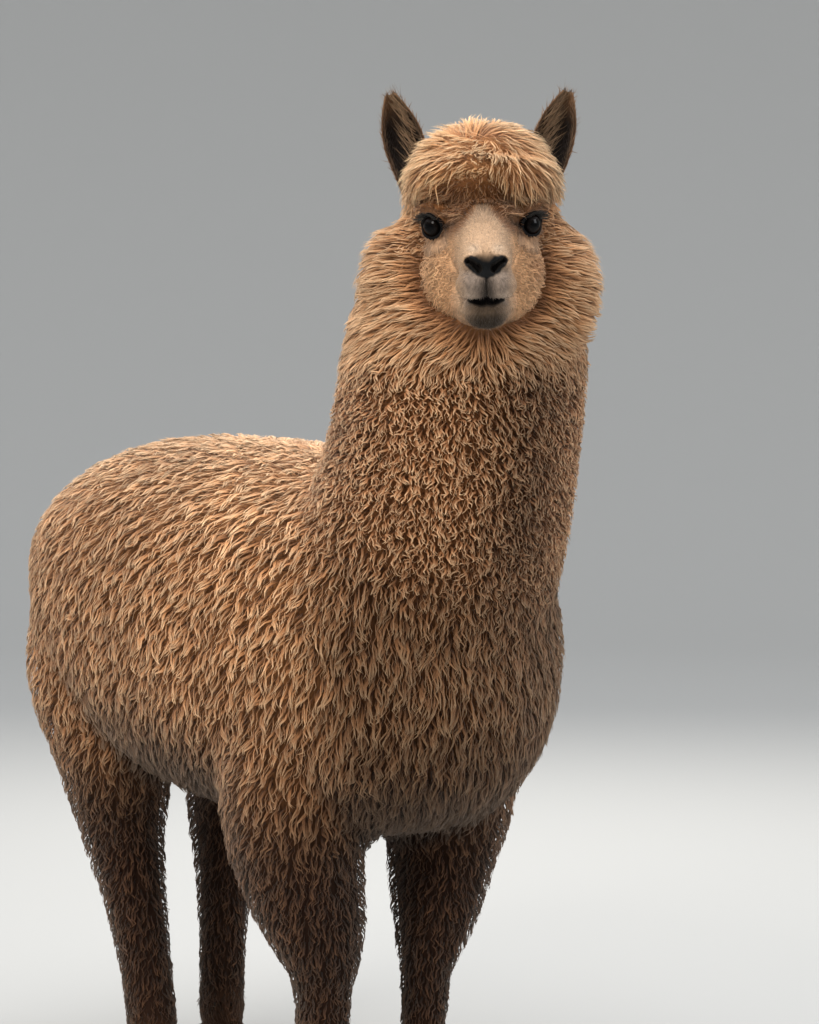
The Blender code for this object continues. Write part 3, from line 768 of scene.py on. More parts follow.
def finish(name, roughness, specular, sheen=0.0):
    """A new material with even values set on its shader; returns it, a wire and the shader."""
    made = bpy.data.materials.new(name)
    made.use_nodes = True
    shader = made.node_tree.nodes["Principled BSDF"]
    shader.inputs["Roughness"].default_value = roughness
    shader.inputs["Specular IOR Level"].default_value = specular
    shader.inputs["Sheen Weight"].default_value = sheen
    shader.inputs["Sheen Roughness"].default_value = 0.5
    shader.inputs["Sheen Tint"].default_value = (1.0, 0.86, 0.72, 1.0)
    return made, Wire(made.node_tree), shader


def plug(wire, shader, **sockets):
    """Links wires to the shader's sockets."""
    for name, value in sockets.items():
        wire.tree.links.new(value.socket, shader.inputs[name.replace("_", " ")])


def painted(wire, factor):
    """The painted colour, made lighter and darker by a pattern."""
    colour = wire.add("ShaderNodeAttribute", {"attribute_name": "coat"}, out="Color")
    return wire.add("ShaderNodeVectorMath", {"operation": "SCALE"}, {0: colour, "Scale": factor})


def noise(wire, place, scale, detail):
    """A soft pattern between 0 and 1."""
    return wire.add("ShaderNodeTexNoise", {}, {"Vector": place, "Scale": scale, "Detail": detail})


# Its finish is short hair: fine flecks and streaks that run up and down, and pores.
hide_finish, wire, shader = finish("short_hair_skin", 0.7, 0.10, sheen=0.05)
place = wire.add("ShaderNodeTexCoord", out="Object")
fleck = noise(wire, place, 900.0, 3.0)
pores = wire.add("ShaderNodeTexVoronoi", {}, {"Vector": place, "Scale": 700.0})
streaks = wire.add("ShaderNodeMapping", {}, {"Vector": place, "Scale": (420.0, 200.0, 130.0)})
colour = painted(wire, fleck * 0.4 + noise(wire, streaks, 1.0, 3.0) * 1.1 + 0.25)
height = fleck * 0.6 + pores * 0.4
bump = wire.add("ShaderNodeBump", {}, {"Height": height, "Strength": 0.45, "Distance": 0.0006})
plug(wire, shader, Base_Color=colour, Normal=bump)
skin.data.materials.clear()
skin.data.materials.append(hide_finish)
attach(skin, "root")
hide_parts(*FLESH)

# ---- Eyes: wet, near-black balls with a barely lighter iris and a wide level pupil. They sit in
# their sockets, and only what the lids leave open is wet and glossy.
IRIS, WHITE, PUPIL = srgb(20, 13, 10), srgb(6, 5, 5), srgb(5, 4, 5)
eye_finish, wire, shader = finish("wet_eye", 0.6, 0.0)
shader.inputs["Coat IOR"].default_value = 1.2
shader.inputs["Coat Roughness"].default_value = 0.03
streaks = noise(wire, wire.add("ShaderNodeTexCoord", out="Object"), 500.0, 2.0)
gloss = wire.add("ShaderNodeAttribute", {"attribute_name": "gloss"}, out="Color")
wetness = wire.add("ShaderNodeSeparateColor", {}, {0: gloss})
plug(wire, shader, Base_Color=painted(wire, streaks * 0.8 + 0.3), Coat_Weight=wetness)
for way, side in SIDES:
    eye_shape = bmesh.new()
    spot = Matrix.Translation(middle(f"eye_{side}"))
    bmesh.ops.create_uvsphere(eye_shape, u_segments=48, v_segments=32, radius=EYE_RADIUS, matrix=spot)
    eyeball = made_of(f"eyeball_{side}", eye_shape)
    above, aside = eye_view(to_head(read(eyeball.data)), way)[2:4]
    tint = blend(WHITE, IRIS, ease(0.78, 0.66, np.hypot(aside, above)))
    paint(eyeball, blend(tint, PUPIL, ease(1.1, 0.9, np.hypot(aside / 0.46, above / 0.26))))
    rim = ease(0.62, 0.80, np.hypot(aside / INNER, above / UPPER))
    paint(eyeball, np.repeat(1 - rim[:, None], 3, axis=1), "gloss")
    eyeball.data.materials.append(eye_finish)
    eyeball.data.shade_smooth()
    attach(eyeball, "root")
    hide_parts(f"eye_{side}")

# ---- Claws: one long dark horn nail on each toe, finely ridged along its length. Each is its
# solid, swollen a little and rounded off, in the socket of its toe.
NAILS = [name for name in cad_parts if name.startswith("nail")]
NAIL_SWELL = 0.0007     # rounding the facets off draws them in by about this much
DARK_HORN, PALE_HORN = (*srgb(38, 30, 26), 1.0), (*srgb(96, 78, 62), 1.0)
nail_finish, wire, shader = finish("nail_horn", 0.42, 0.4)
place = wire.add("ShaderNodeTexCoord", out="Object")
ridges = wire.add("ShaderNodeMapping", {}, {"Vector": place, "Scale": (900.0, 60.0, 60.0)})
grain = noise(wire, ridges, 1.0, 3.0)
growth = noise(wire, place, 90.0, 2.0) * 0.7 + grain * 0.3
horn = wire.add("ShaderNodeMix", {"data_type": "RGBA"}, {0: growth, 6: DARK_HORN, 7: PALE_HORN}, 2)
bump = wire.add("ShaderNodeBump", {}, {"Height": grain, "Strength": 0.4, "Distance": 0.0004})
plug(wire, shader, Base_Color=horn, Normal=bump)
for name in NAILS:
    nail_shape = bmesh.new()
    add_solids(nail_shape, [name], NAIL_SWELL)
    bmesh.ops.join_triangles(
        nail_shape, faces=nail_shape.faces,
        angle_face_threshold=math.radians(40), angle_shape_threshold=math.pi,
    )
    claw = made_of(name.replace("nail", "claw"), nail_shape)
    round_off = claw.modifiers.new("round_off", "SUBSURF")
    round_off.levels = round_off.render_levels = 3
    settled(claw)
    claw.data.materials.append(nail_finish)
    claw.data.shade_smooth()
    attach(claw, "root")
    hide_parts(name)

# ---- The coat's planting and its locks. Roots are spread evenly over the skin, each with its normal
# and its place on the unwrap, and a lock is a thin closed strand that rises, lies over and winds.
PATCH = 0.003           # each lock's patch on the unwrap
SOFTNESS = 0.70         # how far a lock is shaded like the wool around it, and not as a round strand
PACKING = 0.83          # the least gap between roots, as a share of their mean spacing
TRIES = 3.0             # places drawn for each root wanted
draw = np.random.default_rng(2026)
skin.data.calc_loop_triangles()
corners = fetch(skin.data.loop_triangles, "vertices", 3, np.int32)
corner_loops = fetch(skin.data.loop_triangles, "loops", 3, np.int32)
unwrap = fetch(skin.data.uv_layers["OFBake"].data, "uv", 2)
corner_points = skin_points[corners]
corner_edges = corner_points[:, 1:] - corner_points[:, :1]
corner_areas = np.linalg.norm(np.cross(corner_edges[:, 0], corner_edges[:, 1]), axis=1) / 2
corner_centres = corner_points.mean(axis=1)
corner_heads = to_head(corner_centres)


def tree_of(points):
    """A search tree of points."""
    tree = KDTree(len(points))
    for i, point in enumerate(points):
        tree.insert(point, i)
    tree.balance()
    return tree


def spaced(points, order, gaps):
    """The numbers of the points that, taken in order, lie a gap from all that came before."""
    tree = tree_of(points)
    free = np.ones(len(points), bool)
    kept = []
    for i in order:
        if free[i]:
            kept.append(i)
            for _, j, _ in tree.find_range(points[i], gaps[i] * PACKING):
                free[j] = False
    return np.array(kept)


def plant(wanted, spacing):
    """Roots on the wanted triangles at about the spacing, which may vary from triangle to triangle.

    Returns places, normals and unwrap places. Many are drawn, and those too near to another go.
    """
    spacing = np.broadcast_to(spacing, len(corners))
    weights = corner_areas / spacing ** 2 * wanted
    tries = int(weights.sum() * TRIES)
    chosen = draw.choice(len(corners), size=tries, p=weights / weights.sum())
    first, second = draw.random(tries), draw.random(tries)
    over = first + second > 1
    first[over], second[over] = 1 - first[over], 1 - second[over]
    shares = np.c_[1 - first - second, first, second][..., None]
    places = (corner_points[chosen] * shares).sum(axis=1)
    normals = (skin_normals[corners[chosen]] * shares).sum(axis=1)
    patches = (unwrap[corner_loops[chosen]] * shares).sum(axis=1)
    kept = spaced(places, range(tries), spacing[chosen])
    return places[kept], unit(normals[kept]), patches[kept]


def along_skin(ways, normals):
    """Directions laid flat on the skin, one metre long."""
    return unit(ways - normals * (ways * normals).sum(axis=1)[:, None])


def turned(ways, normals, angles):
    """Directions turned about the normals."""
    return ways * np.cos(angles)[:, None] + np.cross(normals, ways) * np.sin(angles)[:, None]


def course(roots, normals, lie, tall, reach, curl, turns, phase, shares):
    """The middle lines of locks: they rise out of the skin, lay over along it and wind as they go."""
    normals, lie = normals[:, None], lie[:, None]
    tall, reach, curl, turns, phase = (value[:, None, None] for value in (tall, reach, curl, turns, phase))
    t = shares[None, :, None]
    rise = 0.12 + 0.88 * (1 - (1 - np.minimum(t * 1.08, 1.0)) ** 2.0)
    swing = turns * t * math.tau + phase
    loose = curl * t ** 0.8
    line = roots[:, None] + normals * (tall * rise) + lie * (reach * t ** 1.25)
    line = line + np.cross(normals, lie) * (loose * np.sin(swing))
    return line + normals * (loose * 0.55 * (np.cos(swing) - 1.0))


def locks(name, hair, line, up, colours, patches, width, flat, taper):
    """Joins locks into one object: closed three-sided strands that end in a point.

    line and colours are (locks, rings + tip, 3), and up is the way out of the skin. The width is half
    a lock's, flat its depth as a share of that, and taper the width's share at each ring.
    """
    count, rings = line.shape[0], line.shape[1] - 1
    heading = unit(np.gradient(line, axis=1))
    side = unit(np.cross(heading, up[:, None]))
    over = np.cross(heading, side)[:, :rings, None]
    side = side[:, :rings, None]
    angles = draw.uniform(0, math.tau, count)[:, None, None] + np.arange(3) * (math.tau / 3)
    half = (width[:, None] * taper[:rings])[..., None]
    points = line[:, :rings, None] + side * (half * np.cos(angles))[..., None]
    points = (points + over * (half * flat * np.sin(angles))[..., None]).reshape(count, -1, 3)
    points = np.concatenate([points, line[:, rings:]], axis=1)
    shading = side * np.cos(angles)[..., None] + over * np.sin(angles)[..., None]
    shading = shading.reshape(count, -1, 3) * (1 - SOFTNESS) + up[:, None] * SOFTNESS
    shading = unit(np.concatenate([shading, up[:, None]], axis=1).reshape(-1, 3))
    shades = np.concatenate([np.repeat(colours[:, :rings], 3, axis=1), colours[:, rings:]], axis=1)
    faces, around, upward = [(2, 1, 0)], [2 / 3, 1 / 3, 0.0], [0.0] * 3
    for ring in range(rings):
        for k in range(3):
            low, n, above = ring * 3, (k + 1) % 3, (ring + 1) * 3
            if ring < rings - 1:
                faces.append((low + k, low + n, above + n, above + k))
                around += [k / 3, (k + 1) / 3, (k + 1) / 3, k / 3]
                upward += [ring / rings] * 2 + [(ring + 1) / rings] * 2
            else:
                faces.append((low + k, low + n, above))
                around += [k / 3, (k + 1) / 3, (k + 0.5) / 3]
                upward += [ring / rings] * 2 + [1.0]
    pattern = np.concatenate(faces)
    around, upward = np.array(around), np.array(upward)
    starts = np.cumsum([0] + [len(face) for face in faces[:-1]])
    numbers = np.arange(count)[:, None]
    mesh = bpy.data.meshes.new(name)
    mesh.vertices.add(count * (rings * 3 + 1))
    mesh.loops.add(count * len(pattern))
    mesh.polygons.add(count * len(faces))
    mesh.vertices.foreach_set("co", points.astype(np.float32).ravel())
    mesh.loops.foreach_set("vertex_index", (numbers * (rings * 3 + 1) + pattern).astype(np.int32).ravel())
    mesh.polygons.foreach_set("loop_start", (numbers * len(pattern) + starts).astype(np.int32).ravel())
    mesh.update(calc_edges=True)
    spread = patches[:, None] + (np.c_[around, upward] - 0.5) * PATCH
    mesh.uv_layers.new(name="OFBake").data.foreach_set("uv", spread.astype(np.float32).ravel())
    start = draw.uniform(0, 40, count)[:, None]
    length = np.linalg.norm(np.diff(line, axis=1), axis=2).sum(axis=1)[:, None]
    strands = np.stack([around * 2.0 + start, upward * length * 60 + start], axis=2)
    mesh.uv_layers.new(name="strand").data.foreach_set("uv", strands.astype(np.float32).ravel())
    made = put(name, mesh)
    paint(made, shades.reshape(-1, 3))
    mesh.materials.append(hair)
    mesh.shade_smooth()
    mesh.normals_split_custom_set_from_vertices(shading)
    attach(made, "root")


CRIMP_TURNS = 16.0      # waves of a fibre along its lock
CRIMP_WIDTH = 0.16


def wool_finish(name, roughness, sheen):
    """Hair or wool: the painted colour broken into fine fibres that run along each lock."""
    made, wire, shader = finish(name, roughness, 0.22, sheen=sheen)
    strand = wire.add("ShaderNodeUVMap", {"uv_map": "strand"})
    around, upward = (wire.add("ShaderNodeSeparateXYZ", {}, {0: strand}, axis) for axis in (0, 1))
    crimped = around + wire.math("SINE", upward * CRIMP_TURNS) * CRIMP_WIDTH
    stretched = wire.add("ShaderNodeCombineXYZ", {}, {0: crimped * 5.0, 1: upward})
    pattern = {"Vector": stretched, "Scale": 1.6, "Detail": 3.0}
    fibre = wire.add("ShaderNodeTexNoise", {"noise_dimensions": "2D"}, pattern)
    bump = wire.add("ShaderNodeBump", {}, {"Height": fibre, "Strength": 0.7, "Distance": 0.0010})
    plug(wire, shader, Base_Color=painted(wire, fibre * 1.7 + 0.18), Normal=bump)
    return made


long_wool = wool_finish("long_wool", 0.85, 0.30)
short_hair = wool_finish("short_hair", 0.65, 0.2)

# ---- Fleece: long crimped wool in pointed locks, which gather into bunches. It lies down and back
# on the trunk, curls tightly on the neck, hangs long on the chest, stands in a dome on the crown and
# is combed outward in the ruff of the cheeks.
TRUNK, LEGS, CHEST, NECK, RUFF, CROWN, BROW = range(7)                  # the order of the values below
SPACING = (0.0065, 0.0057, 0.0054, 0.0041, 0.0036, 0.0033, 0.0028)      # between locks
REACH = (0.030, 0.020, 0.036, 0.016, 0.040, 0.027, 0.010)               # how far a lock lies along the body
RISE = (0.82, 0.85, 0.9, 1.0, 1.0, 1.0, 0.60)                           # share of the coat's depth
WIDTH = (0.0022, 0.0017, 0.0018, 0.0016, 0.0013, 0.0012, 0.0009)        # half a lock's width
CURL = (0.0036, 0.0034, 0.0040, 0.0038, 0.0022, 0.0026, 0.0026)         # radius of its winding
TURNS = (1.4, 1.5, 2.0, 1.40, 1.2, 1.1, 1.0)
GATHER = (0.68, 0.52, 0.58, 0.40, 0.50, 0.36, 0.30)                     # how far tips run together
BUNCH = (0.019, 0.016, 0.018, 0.011, 0.015, 0.012, 0.010)               # between bunches
STRAY = (0.252, 0.21, 0.18, 0.48, 0.132, 0.288, 0.36)                   # scatter of directions, radians
THIN = (0.50, 0.40, 0.45, 0.45, 0.35, 0.40, 0.40)                       # share of thin, loose strands
COWLICK = np.array((0.0, -0.030, 0.110))                                # head axes
STEPS = np.array([0.0, 0.20, 0.38, 0.58, 0.70, 0.83, 1.0])              # of a lock's rings, and its tip
TAPER = np.array([0.72, 1.0, 1.0, 0.90, 0.74, 0.50, 0.0])
KEPT_STEPS = {3: [0, 2, 4, 6], 4: [0, 2, 3, 5, 6], 5: [0, 1, 2, 3, 5, 6]}


def columns(*values):
    """Rows of three, from values that are one for each row or one for all."""
    return np.stack(np.broadcast_arrays(*values), axis=1)


def region_shares(points):
    """How much of each region's growth applies at world points; each row sums to 1."""
    _, back, up = to_head(points).T
    _, along, height = points.T
    lifted = neck_height(points) + 0.7 * np.maximum(-0.36 - along, 0)
    shares = [np.ones(len(points))]
    for share in (
        ease(0.52, 0.40, height),
        ease(-0.24, -0.33, along) * ease(0.42, 0.50, height) * ease(0.90, 0.75, height),
        ease(0.80, 0.98, lifted) * ease(-0.02, -0.14, along),
        ease(-0.21, -0.13, up) * ease(0.17, 0.08, back) * (height > 1.0),
        ease(0.02, 0.05, up + 0.4 * np.maximum(back - 0.03, 0)),
        ease(0.052, 0.040, up) * ease(0.045, 0.025, back) * (up > -0.03),
    ):
        shares = [earlier * (1 - share) for earlier in shares] + [share]
    return np.stack(shares, axis=1)


def lie_of_wool(points, normals, shares):
    """The way the wool is combed, along the skin."""
    head = to_head(points)
    x, _, z = head.T
    parted = 0.45 * np.clip(points[:, 0] / 0.04, -1, 1) * ease(0.4, 0.9, normals[:, 2])
    ways = columns(parted, 0.28, -1.0) * shares[:, [TRUNK]]
    ways = ways + np.array((0.0, 0.12, -1.0)) * shares[:, LEGS:RUFF].sum(axis=1)[:, None]
    outward = columns(np.clip(x / 0.025, -1, 1), 0.55, 2.2 * np.minimum(z + 0.03, 0.0) - 0.25)
    whorl = 1.3 * bell(np.linalg.norm(head - COWLICK, axis=1), 0.045)[:, None]
    swirl = head - COWLICK
    swirl[:, 2] -= 0.015 * ease(0.105, 0.085, z)
    swirl = unit(swirl)
    swirl = swirl * np.cos(whorl) + np.cross(swirl, (0.0, -0.75, 0.66)) * np.sin(whorl)
    over_brow = columns(x * 14, -0.3, -0.8)
    on_head = unit(outward) * shares[:, [RUFF]] + swirl * shares[:, [CROWN]] + over_brow * shares[:, [BROW]]
    return along_skin(ways + on_head @ HEAD_TURN.T, normals)


WOOL_FOOT = 0.058       # the wool ends at this height, above the feet
ANKLE = 0.13            # and below this none grows on skin as level as between the toes
corner_bare = bare[corners].mean(axis=1)
corner_on_ear = on_ear[corners].all(axis=1)
level = np.abs(skin_normals[corners].mean(axis=1)[:, 2]) > 0.55
woolly = (corner_bare < 0.5) & ~corner_on_ear & (corner_centres[:, 2] > WOOL_FOOT)
woolly &= ~((corner_centres[:, 2] < ANKLE) & level)
roots, normals, patches = plant(woolly, region_shares(corner_centres) @ np.array(SPACING))
shares = region_shares(roots)
count = len(roots)


def of_region(values):
    """For each lock, the values of its regions mixed."""
    return shares @ np.array(values)


# Bunches: each has a guide, which its locks approach towards their tips.
guides = spaced(roots, draw.permutation(count), of_region(BUNCH))
guide_tree = tree_of(roots[guides])
bunch_of = np.array([guide_tree.find(root)[1] for root in roots])

# Each lock's growth, drawn about the values of its region.
surface = roots + normals * 0.02         # near the tips of the coat
tall = coat_depth(surface) * of_region(RISE) * draw.uniform(0.84, 1.10, count)
tall = tall * (1 + 0.35 * ease(-0.4, -0.8, normals[:, 2]) * (roots[:, 2] > 0.4))
reach = of_region(REACH) * draw.uniform(0.75, 1.25, count)
curl = of_region(CURL) * draw.uniform(0.6, 1.4, count)
turns = of_region(TURNS) * draw.uniform(0.8, 1.2, count)
phase = draw.uniform(0, math.tau, count)
stray = of_region(STRAY) + 0.78 * bell(np.linalg.norm(to_head(surface) - COWLICK, axis=1), 0.022)
ways = turned(lie_of_wool(roots, normals, shares), normals, draw.normal(0, 1, count) * stray)

# Locks stop short of the eyes, and the fringe hangs down to a ragged edge above them.
root_head = to_head(roots)
x, y, z = root_head.T
to_eye = np.linalg.norm(np.abs(root_head) - (EYE_ACROSS, EYES_FORWARD, 0.0), axis=1)
clear_of_eye = (to_eye - EYE_RADIUS - 0.003) * (1 - 0.5 * shares[:, BROW])
reach = np.minimum(reach, np.maximum(0.003, clear_of_eye)) * (0.7 + 0.3 * ease(0.08, 0.20, roots[:, 2]))
fringe = shares[:, CROWN] * (y < 0.03)
fringe_edge = 0.066 - 0.95 * np.clip(np.abs(x), 0.0, 0.05) + draw.normal(0, 0.006, count)
fringe_edge += 0.010 * ripple(root_head * (1, 0.2, 0.2), 110.0, 21) - 0.05 * x
hanging = np.minimum(reach * 1.6, 0.008 + 0.85 * np.maximum(z - fringe_edge, 0.0))
reach = reach * (1 - fringe) + fringe * hanging
head_up = HEAD_TURN[:, 2]
lift = fringe * ease(0.055, 0.025, np.abs(x) + 0.3 * x) * np.maximum(0.30 - normals @ head_up, 0.0)
rising_way = unit(normals + lift[:, None] * head_up)

phase = phase[guides][bunch_of] + draw.normal(0, 0.5, count)
own = course(roots, rising_way, ways, tall, reach, curl, turns, phase, STEPS)
loose = draw.random(count) < of_region(THIN)
gather = of_region(GATHER) * np.where(loose, 0.35, 1.0)
pull = (gather[:, None] * ease(0.05, 1.0, STEPS))[..., None]
line = own * (1 - pull) + own[guides][bunch_of] * pull
width = of_region(WIDTH) * draw.uniform(0.65, 1.35, count) * np.where(loose, 0.36, 1.0)

tone = 1 + draw.normal(0, 0.10, len(guides))[bunch_of] + draw.normal(0, 0.10, count) + 0.10 * loose
# Each lock runs from its root's colour, darker partly as painted shade deep in the fleece, to its pale tip.
low, mid, high = (wool_shades(roots, normals[:, 2], layer)[:, None] for layer in (ROOT, MIDDLE, TIP))
colours = blend(blend(low, mid, ease(0.05, 0.55, STEPS)), high, ease(0.45, 1.0, STEPS))
colours = colours * tone.clip(0.6, 1.5)[:, None, None]

# The locks are joined into pieces by where they grow, and within a limit of triangles.
TRIANGLES = 190000
RINGS = {
    "topknot": 5, "ruff": 5, "neck_wool": 4, "flank_left": 4,
    "chest_wool": 5, "belly_wool": 3, "leg_wool": 4, "flank_right": 4,
}
growing = {             # a lock belongs to the first that is true, or else to the left flank
    "topknot": shares[:, CROWN] + shares[:, BROW] > 0.5,
    "ruff": shares[:, RUFF] > 0.5,
    "neck_wool": shares[:, NECK] > 0.5,
    "chest_wool": roots[:, 1] < -0.28,
    "belly_wool": normals[:, 2] < -0.55,
    "leg_wool": roots[:, 2] < 0.46,
    "flank_right": roots[:, 0] < 0,
}
home = np.select(list(growing.values()), list(growing), "flank_left")
for way, _ in SIDES:                            # no lock hangs before an eye
    distance, out = eye_view(to_head(line.reshape(-1, 3)), way)[:2]
    before_eye = ((out < 0.12) & (distance < 0.07)).reshape(count, -1).any(axis=1)
    home[before_eye] = "none"
for name, rings in RINGS.items():
    members = np.nonzero(home == name)[0]
    members = members[np.argsort(roots[members, 1], kind="stable")]
    kept = KEPT_STEPS[rings]
    each = 6 * (rings - 1) + 4                  # triangles of one lock
    for part, chosen in enumerate(np.array_split(members, math.ceil(len(members) * each / TRIANGLES))):
        locks(
            f"{name}_{part + 1}", long_wool, line[chosen][:, kept], normals[chosen],
            colours[chosen][:, kept], patches[chosen], width[chosen], flat=0.6, taper=TAPER[kept],
        )

# ---- Short hair: a few millimetres long and nearly flat on the face, ears and feet. It runs back
# from the nose, down on lips and chin, away from the lids and up the ears.
FACE_SPACING, CHEEK_SPACING, EAR_SPACING, FOOT_SPACING = 0.0023, 0.0031, 0.0026, 0.0042
ROOTED = 0.0004         # how deep a hair starts in the skin


def combed(name, planted, ways, shades, tall, reach, width, stray=0.2, wave=0.05, rings=2):
    """Hairs of a few rings and a point, from planted roots along the given ways."""
    roots, normals, patches = planted
    number = len(roots)
    lie = turned(along_skin(ways, normals), normals, draw.normal(0, stray, number))
    tall = tall * draw.uniform(0.7, 1.3, number)
    reach = reach * draw.uniform(0.7, 1.3, number)
    turns, phase = np.full(number, 0.2 * rings), draw.uniform(0, math.tau, number)
    marks = np.linspace(0.0, 1.0, rings + 1)
    line = course(roots - normals * ROOTED, normals, lie, tall, reach, reach * wave, turns, phase, marks)
    tone = draw.normal(1.0, 0.20, number).clip(0.55, 1.6)[:, None, None]
    colours = shades[:, None] * np.linspace(0.80, 1.25, rings + 1)[:, None] * tone
    half = width * draw.uniform(0.7, 1.3, number)
    locks(name, short_hair, line, normals, colours, patches, half, flat=0.5, taper=1 - marks ** 1.6)


corner_on_face = on_face[corners].all(axis=1)
hairy = corner_on_face & (corner_bare > 0.4)
hairy &= (leather(corner_heads) < 0.3) & (mouth_gap(corner_heads) < 0.4)
for way, _ in SIDES:
    distance, out, above = eye_view(corner_heads, way)[:3]
    hairy &= ~((distance < 0.036) & (out < np.where(above > 0, 0.24, 0.10)))
planted = plant(hairy, FACE_SPACING)
head = to_head(planted[0])
x, y, z = head.T
lips = ease(-0.062, -0.080, z) * ease(-0.085, -0.115, y)
chin = np.maximum(ease(-0.100, -0.112, z) * (1 - lips), lips * (z < -0.104))
cheek = ease(0.030, 0.055, np.abs(x)) * ease(0.0, -0.05, z) * (1 - lips)
ways = columns(np.clip(x * 12, -0.35, 0.35), 1.0, 0.0)
ways = blend(ways, columns(x * 30, 0.5, -0.9), lips)
ways = blend(ways, columns(x * 6, 0.8, -1.0), chin)
ways = blend(ways, columns(np.sign(x) * 0.8, 0.7, -0.7), cheek)
for way, _ in SIDES:
    distance, out = eye_view(head, way)[:2]
    ways = blend(ways, (head - gaze(way)[0]) * 40, 0.8 * bell(out, 0.8) * (distance < 0.045))
length = 0.0052 + 0.0050 * ease(-0.13, -0.05, y) + 0.004 * ease(-0.11, -0.13, z)
tall = 0.0010 + 0.0012 * ease(-0.12, 0.0, y)
combed("face_hair", planted, ways @ HEAD_TURN.T, face_shades(head), tall, length, width=0.00065)

# The cheeks and jaw carry short curls, which grow longer towards the wool around the face.
x, y, z = corner_heads.T
curly = ease(0.038, 0.054, np.abs(x)) * ease(-0.010, -0.032, z)
curly = np.maximum(curly, ease(-0.114, -0.130, z) * ease(-0.128, -0.110, y))
curly = np.maximum(curly, ease(0.98, 0.60, corner_bare) * (z < 0.01)) * corner_on_face * (corner_bare > 0.2)
for way, _ in SIDES:
    distance, out = eye_view(corner_heads, way)[:2]
    curly = curly * ~((distance < 0.040) & (out < 0.9))
planted = plant(np.where(curly > 0.08, curly, 0.0), CHEEK_SPACING)
head = to_head(planted[0])
x, _, z = head.T
ways = columns(np.sign(x) * 0.8, 0.6, -0.35 - 0.5 * ease(-0.06, -0.11, z))
rim = ease(1.0, 0.4, bare_face(head))
tall = 0.0030 + 0.0035 * ease(0.045, 0.07, np.abs(x)) + 0.012 * rim
shades = blend(face_shades(head), FACE_HAIR, 0.5) * (0.92 + 0.10 * ripple(head, 180.0, 14))[:, None]
combed(
    "cheek_wool", planted, ways @ HEAD_TURN.T, shades, tall, reach=0.0105 + 0.009 * rim,
    width=0.0010, stray=0.7, wave=0.16, rings=4,
)

for way, side in SIDES:
    planted = plant(corner_on_ear & (corner_heads[:, 0] * way > 0), EAR_SPACING)
    share, hollow, local = inside_ear(planted[0], way)
    ways = columns(np.sign(local[:, 0]) * 0.25, 0.1, 1.0) @ np.array(ear_place(way).to_3x3()).T
    edge = ease(0.012, 0.003, local[:, 1] - EAR_BOW * np.sin(math.pi * share))
    shades = np.where(hollow[:, None], EAR_INSIDE, EAR_OUTSIDE)
    shades = blend(shades, EAR_EDGE, np.clip(edge * 0.7 + ease(0.8, 1.0, share) * 0.5, 0, 0.85))
    length = np.where(hollow, 0.006, 0.008) + 0.003 * edge
    combed(
        f"ear_hair_{side}", planted, ways, shades, tall=0.0014, reach=length,
        width=0.0006, stray=0.35,
    )

# Long pale strands stand along the inner edge of each ear and cross its hollow.
EAR_STRANDS = 170
for way, side in SIDES:
    share = draw.uniform(0.10, 0.93, EAR_STRANDS)
    across = draw.uniform(-1.0, -0.35, EAR_STRANDS) ** 3 * 0.45 - 0.5
    half = ear_half(share)
    deep = EAR_BOW * np.sin(math.pi * share) + EAR_CUP * half * np.sqrt(1 - across ** 2) - 0.004
    place = np.array(ear_place(way))
    turn = place[:3, :3]
    roots = columns(across * half * way, deep, EAR_LENGTH * share) @ turn.T + place[:3, 3]
    facing = np.tile(turn @ (way * 0.5, -0.85, 0.0), (EAR_STRANDS, 1))
    ways = np.tile(turn @ (way * 0.32, 0.0, 1.0), (EAR_STRANDS, 1))
    shades = EAR_STRAND * draw.uniform(0.6, 1.25, EAR_STRANDS)[:, None]
    length = np.minimum(0.040, (1.04 - share) * EAR_LENGTH)
    planted = roots, facing, np.full((EAR_STRANDS, 2), 0.5)
    combed(
        f"ear_strands_{side}", planted, ways, shades, tall=half * 0.75, reach=length,
        width=0.0006, stray=0.22, rings=4,
    )

SOCKET_RIM = 0.001
hairy = (corner_centres[:, 2] > 0.006) & (corner_centres[:, 2] < 0.090)
for name in NAILS:      # no hair grows in the claws' sockets
    low, high = (np.array(corner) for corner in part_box(name))
    hairy &= ~((corner_centres > low - SOCKET_RIM) & (corner_centres < high + SOCKET_RIM)).all(axis=1)
planted = plant(hairy, FOOT_SPACING)
height = planted[0][:, 2]
low = ease(0.035, 0.012, height)
length = 0.009 + 0.008 * ease(0.05, 0.09, height) - 0.0055 * low
ways, shades = columns(0.0, -0.45, -1.0 + 0.85 * low), blend(FOOT_HAIR, FOOT_HAIR * 0.7, low)
combed("foot_hair", planted, ways, shades, tall=0.0018, reach=length, width=0.0010)

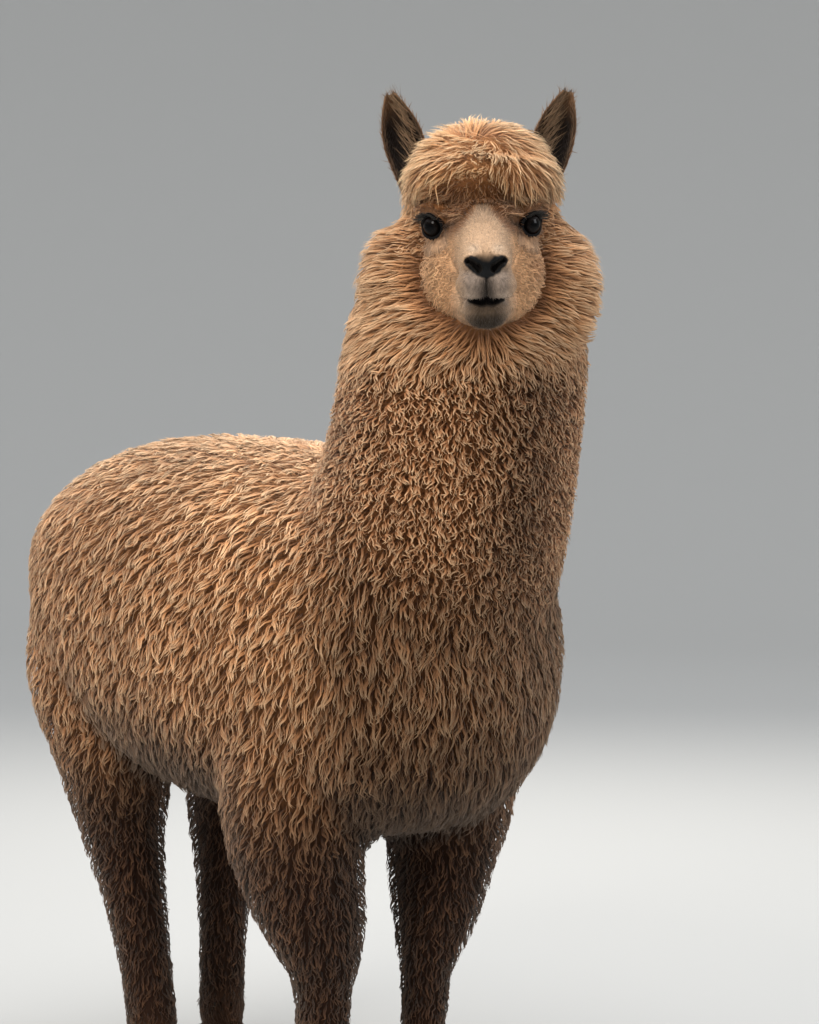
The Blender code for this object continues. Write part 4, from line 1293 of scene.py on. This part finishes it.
# ---- Lashes: one row of dark, stiff hairs on the edge of each upper lid, swept outward. They are
# rooted along the almond of the lid and bend down, then up to their points.
LASHES = 90
LASH_STEPS = np.array([0.0, 0.3, 0.6, 0.82, 1.0])
LASH_BEND = np.array([0.0, -0.05, -0.07, -0.04, 0.04])
LASH_TAPER = np.array([1.0, 0.9, 0.7, 0.4, 0.0])
upward = np.array((0.0, 0.0, 1.0))
for way, side in SIDES:
    centre, ahead, inward = gaze(way)
    across = np.linspace(-0.97, 0.80, LASHES) + draw.normal(0, 0.012, LASHES)
    aside = across * np.where(across > 0, INNER, OUTER)
    tall = (1.10 - np.abs(across) ** ALMOND).clip(0.02) ** (1 / ALMOND) * draw.uniform(0.98, 1.10, LASHES)
    above = tall * UPPER - 0.10 * aside
    ray = np.cos(above)[:, None] * (np.cos(aside)[:, None] * ahead + np.sin(aside)[:, None] * inward)
    ray = unit(ray + np.sin(above)[:, None] * upward)
    lie = unit(ray * 0.6 - inward * (1.0 - 0.45 * across[:, None]) - upward * 0.22)
    length = (0.017 - 0.008 * np.clip(across + 0.5, 0, 1.2)) * draw.uniform(0.8, 1.2, LASHES)
    line = lie[:, None] * (length[:, None] * LASH_STEPS)[..., None]
    line = line + upward * (length[:, None] * LASH_BEND)[..., None]
    line = line + (centre + ray * (EYE_RADIUS + 0.0016))[:, None]
    colours, patches = np.broadcast_to(LID_EDGE * 0.7, line.shape), np.full((LASHES, 2), 0.5)
    locks(
        f"lashes_{side}", short_hair, from_head(line), ray @ HEAD_TURN.T, colours, patches,
        np.full(LASHES, 0.00050), flat=0.9, taper=LASH_TAPER,
    )

# ---- Floor and light: a pale floor that sweeps up to a wall all round. Soft boxes light the animal
# from above, from the front on both sides and from behind.
FLAT, SWEEP, WALL = 8.0, 5.0, 7.0       # flat floor's radius, the rise's radius and the wall's height
RISE_STEPS = 12
floor_shape = bmesh.new()
profile = [(0.0, 0.0, 0.0), (FLAT * 0.5, 0.0, 0.0), (FLAT, 0.0, 0.0)]
for k in range(1, RISE_STEPS + 1):
    angle = math.pi / 2 * k / RISE_STEPS
    profile.append((FLAT + SWEEP * math.sin(angle), 0.0, SWEEP * (1 - math.cos(angle))))
profile.append((FLAT + SWEEP, 0.0, WALL))
edge = [floor_shape.verts.new(corner) for corner in profile]
for pair in zip(edge, edge[1:]):
    floor_shape.edges.new(pair)
bmesh.ops.spin(
    floor_shape, geom=floor_shape.verts[:] + floor_shape.edges[:], cent=(0, 0, 0), axis=(0, 0, 1),
    dvec=(0, 0, 0), angle=math.tau, steps=96, use_merge=True,
)
bmesh.ops.remove_doubles(floor_shape, verts=floor_shape.verts, dist=1e-4)
bmesh.ops.recalc_face_normals(floor_shape, faces=floor_shape.faces)
floor = made_of("floor", floor_shape)
floor.data.shade_smooth()
floor_finish, wire, shader = finish("pale_floor", 0.9, 0.1)
shader.inputs["Base Color"].default_value = (0.42, 0.42, 0.41, 1.0)
floor.data.materials.append(floor_finish)

bpy.context.scene.view_settings.view_transform = "Standard"
world = bpy.data.worlds.new("soft_room")
bpy.context.scene.world = world
world.use_nodes = True
backdrop = world.node_tree.nodes["Background"]
backdrop.inputs["Color"].default_value = (0.95, 0.97, 1.0, 1.0)
backdrop.inputs["Strength"].default_value = 1.15
for name, place, size, watts, colour in (
    ("sky", (-0.6, -0.6, 4.4), 3.2, 110, (0.97, 0.98, 1.0)),
    ("key", (-4.0, -1.4, 3.2), 1.4, 90, (1.0, 0.95, 0.88)),
    ("fill", (2.6, -3.4, 2.4), 1.6, 48, (0.97, 0.98, 1.0)),
    ("rim", (2.2, 2.6, 3.2), 1.6, 110, (1.0, 0.96, 0.90)),
):
    lamp = bpy.data.lights.new(name, "AREA")
    lamp.size = size
    lamp.energy = watts
    lamp.color = colour
    aim(put(name, lamp), place, (0, -0.1, 0.9))
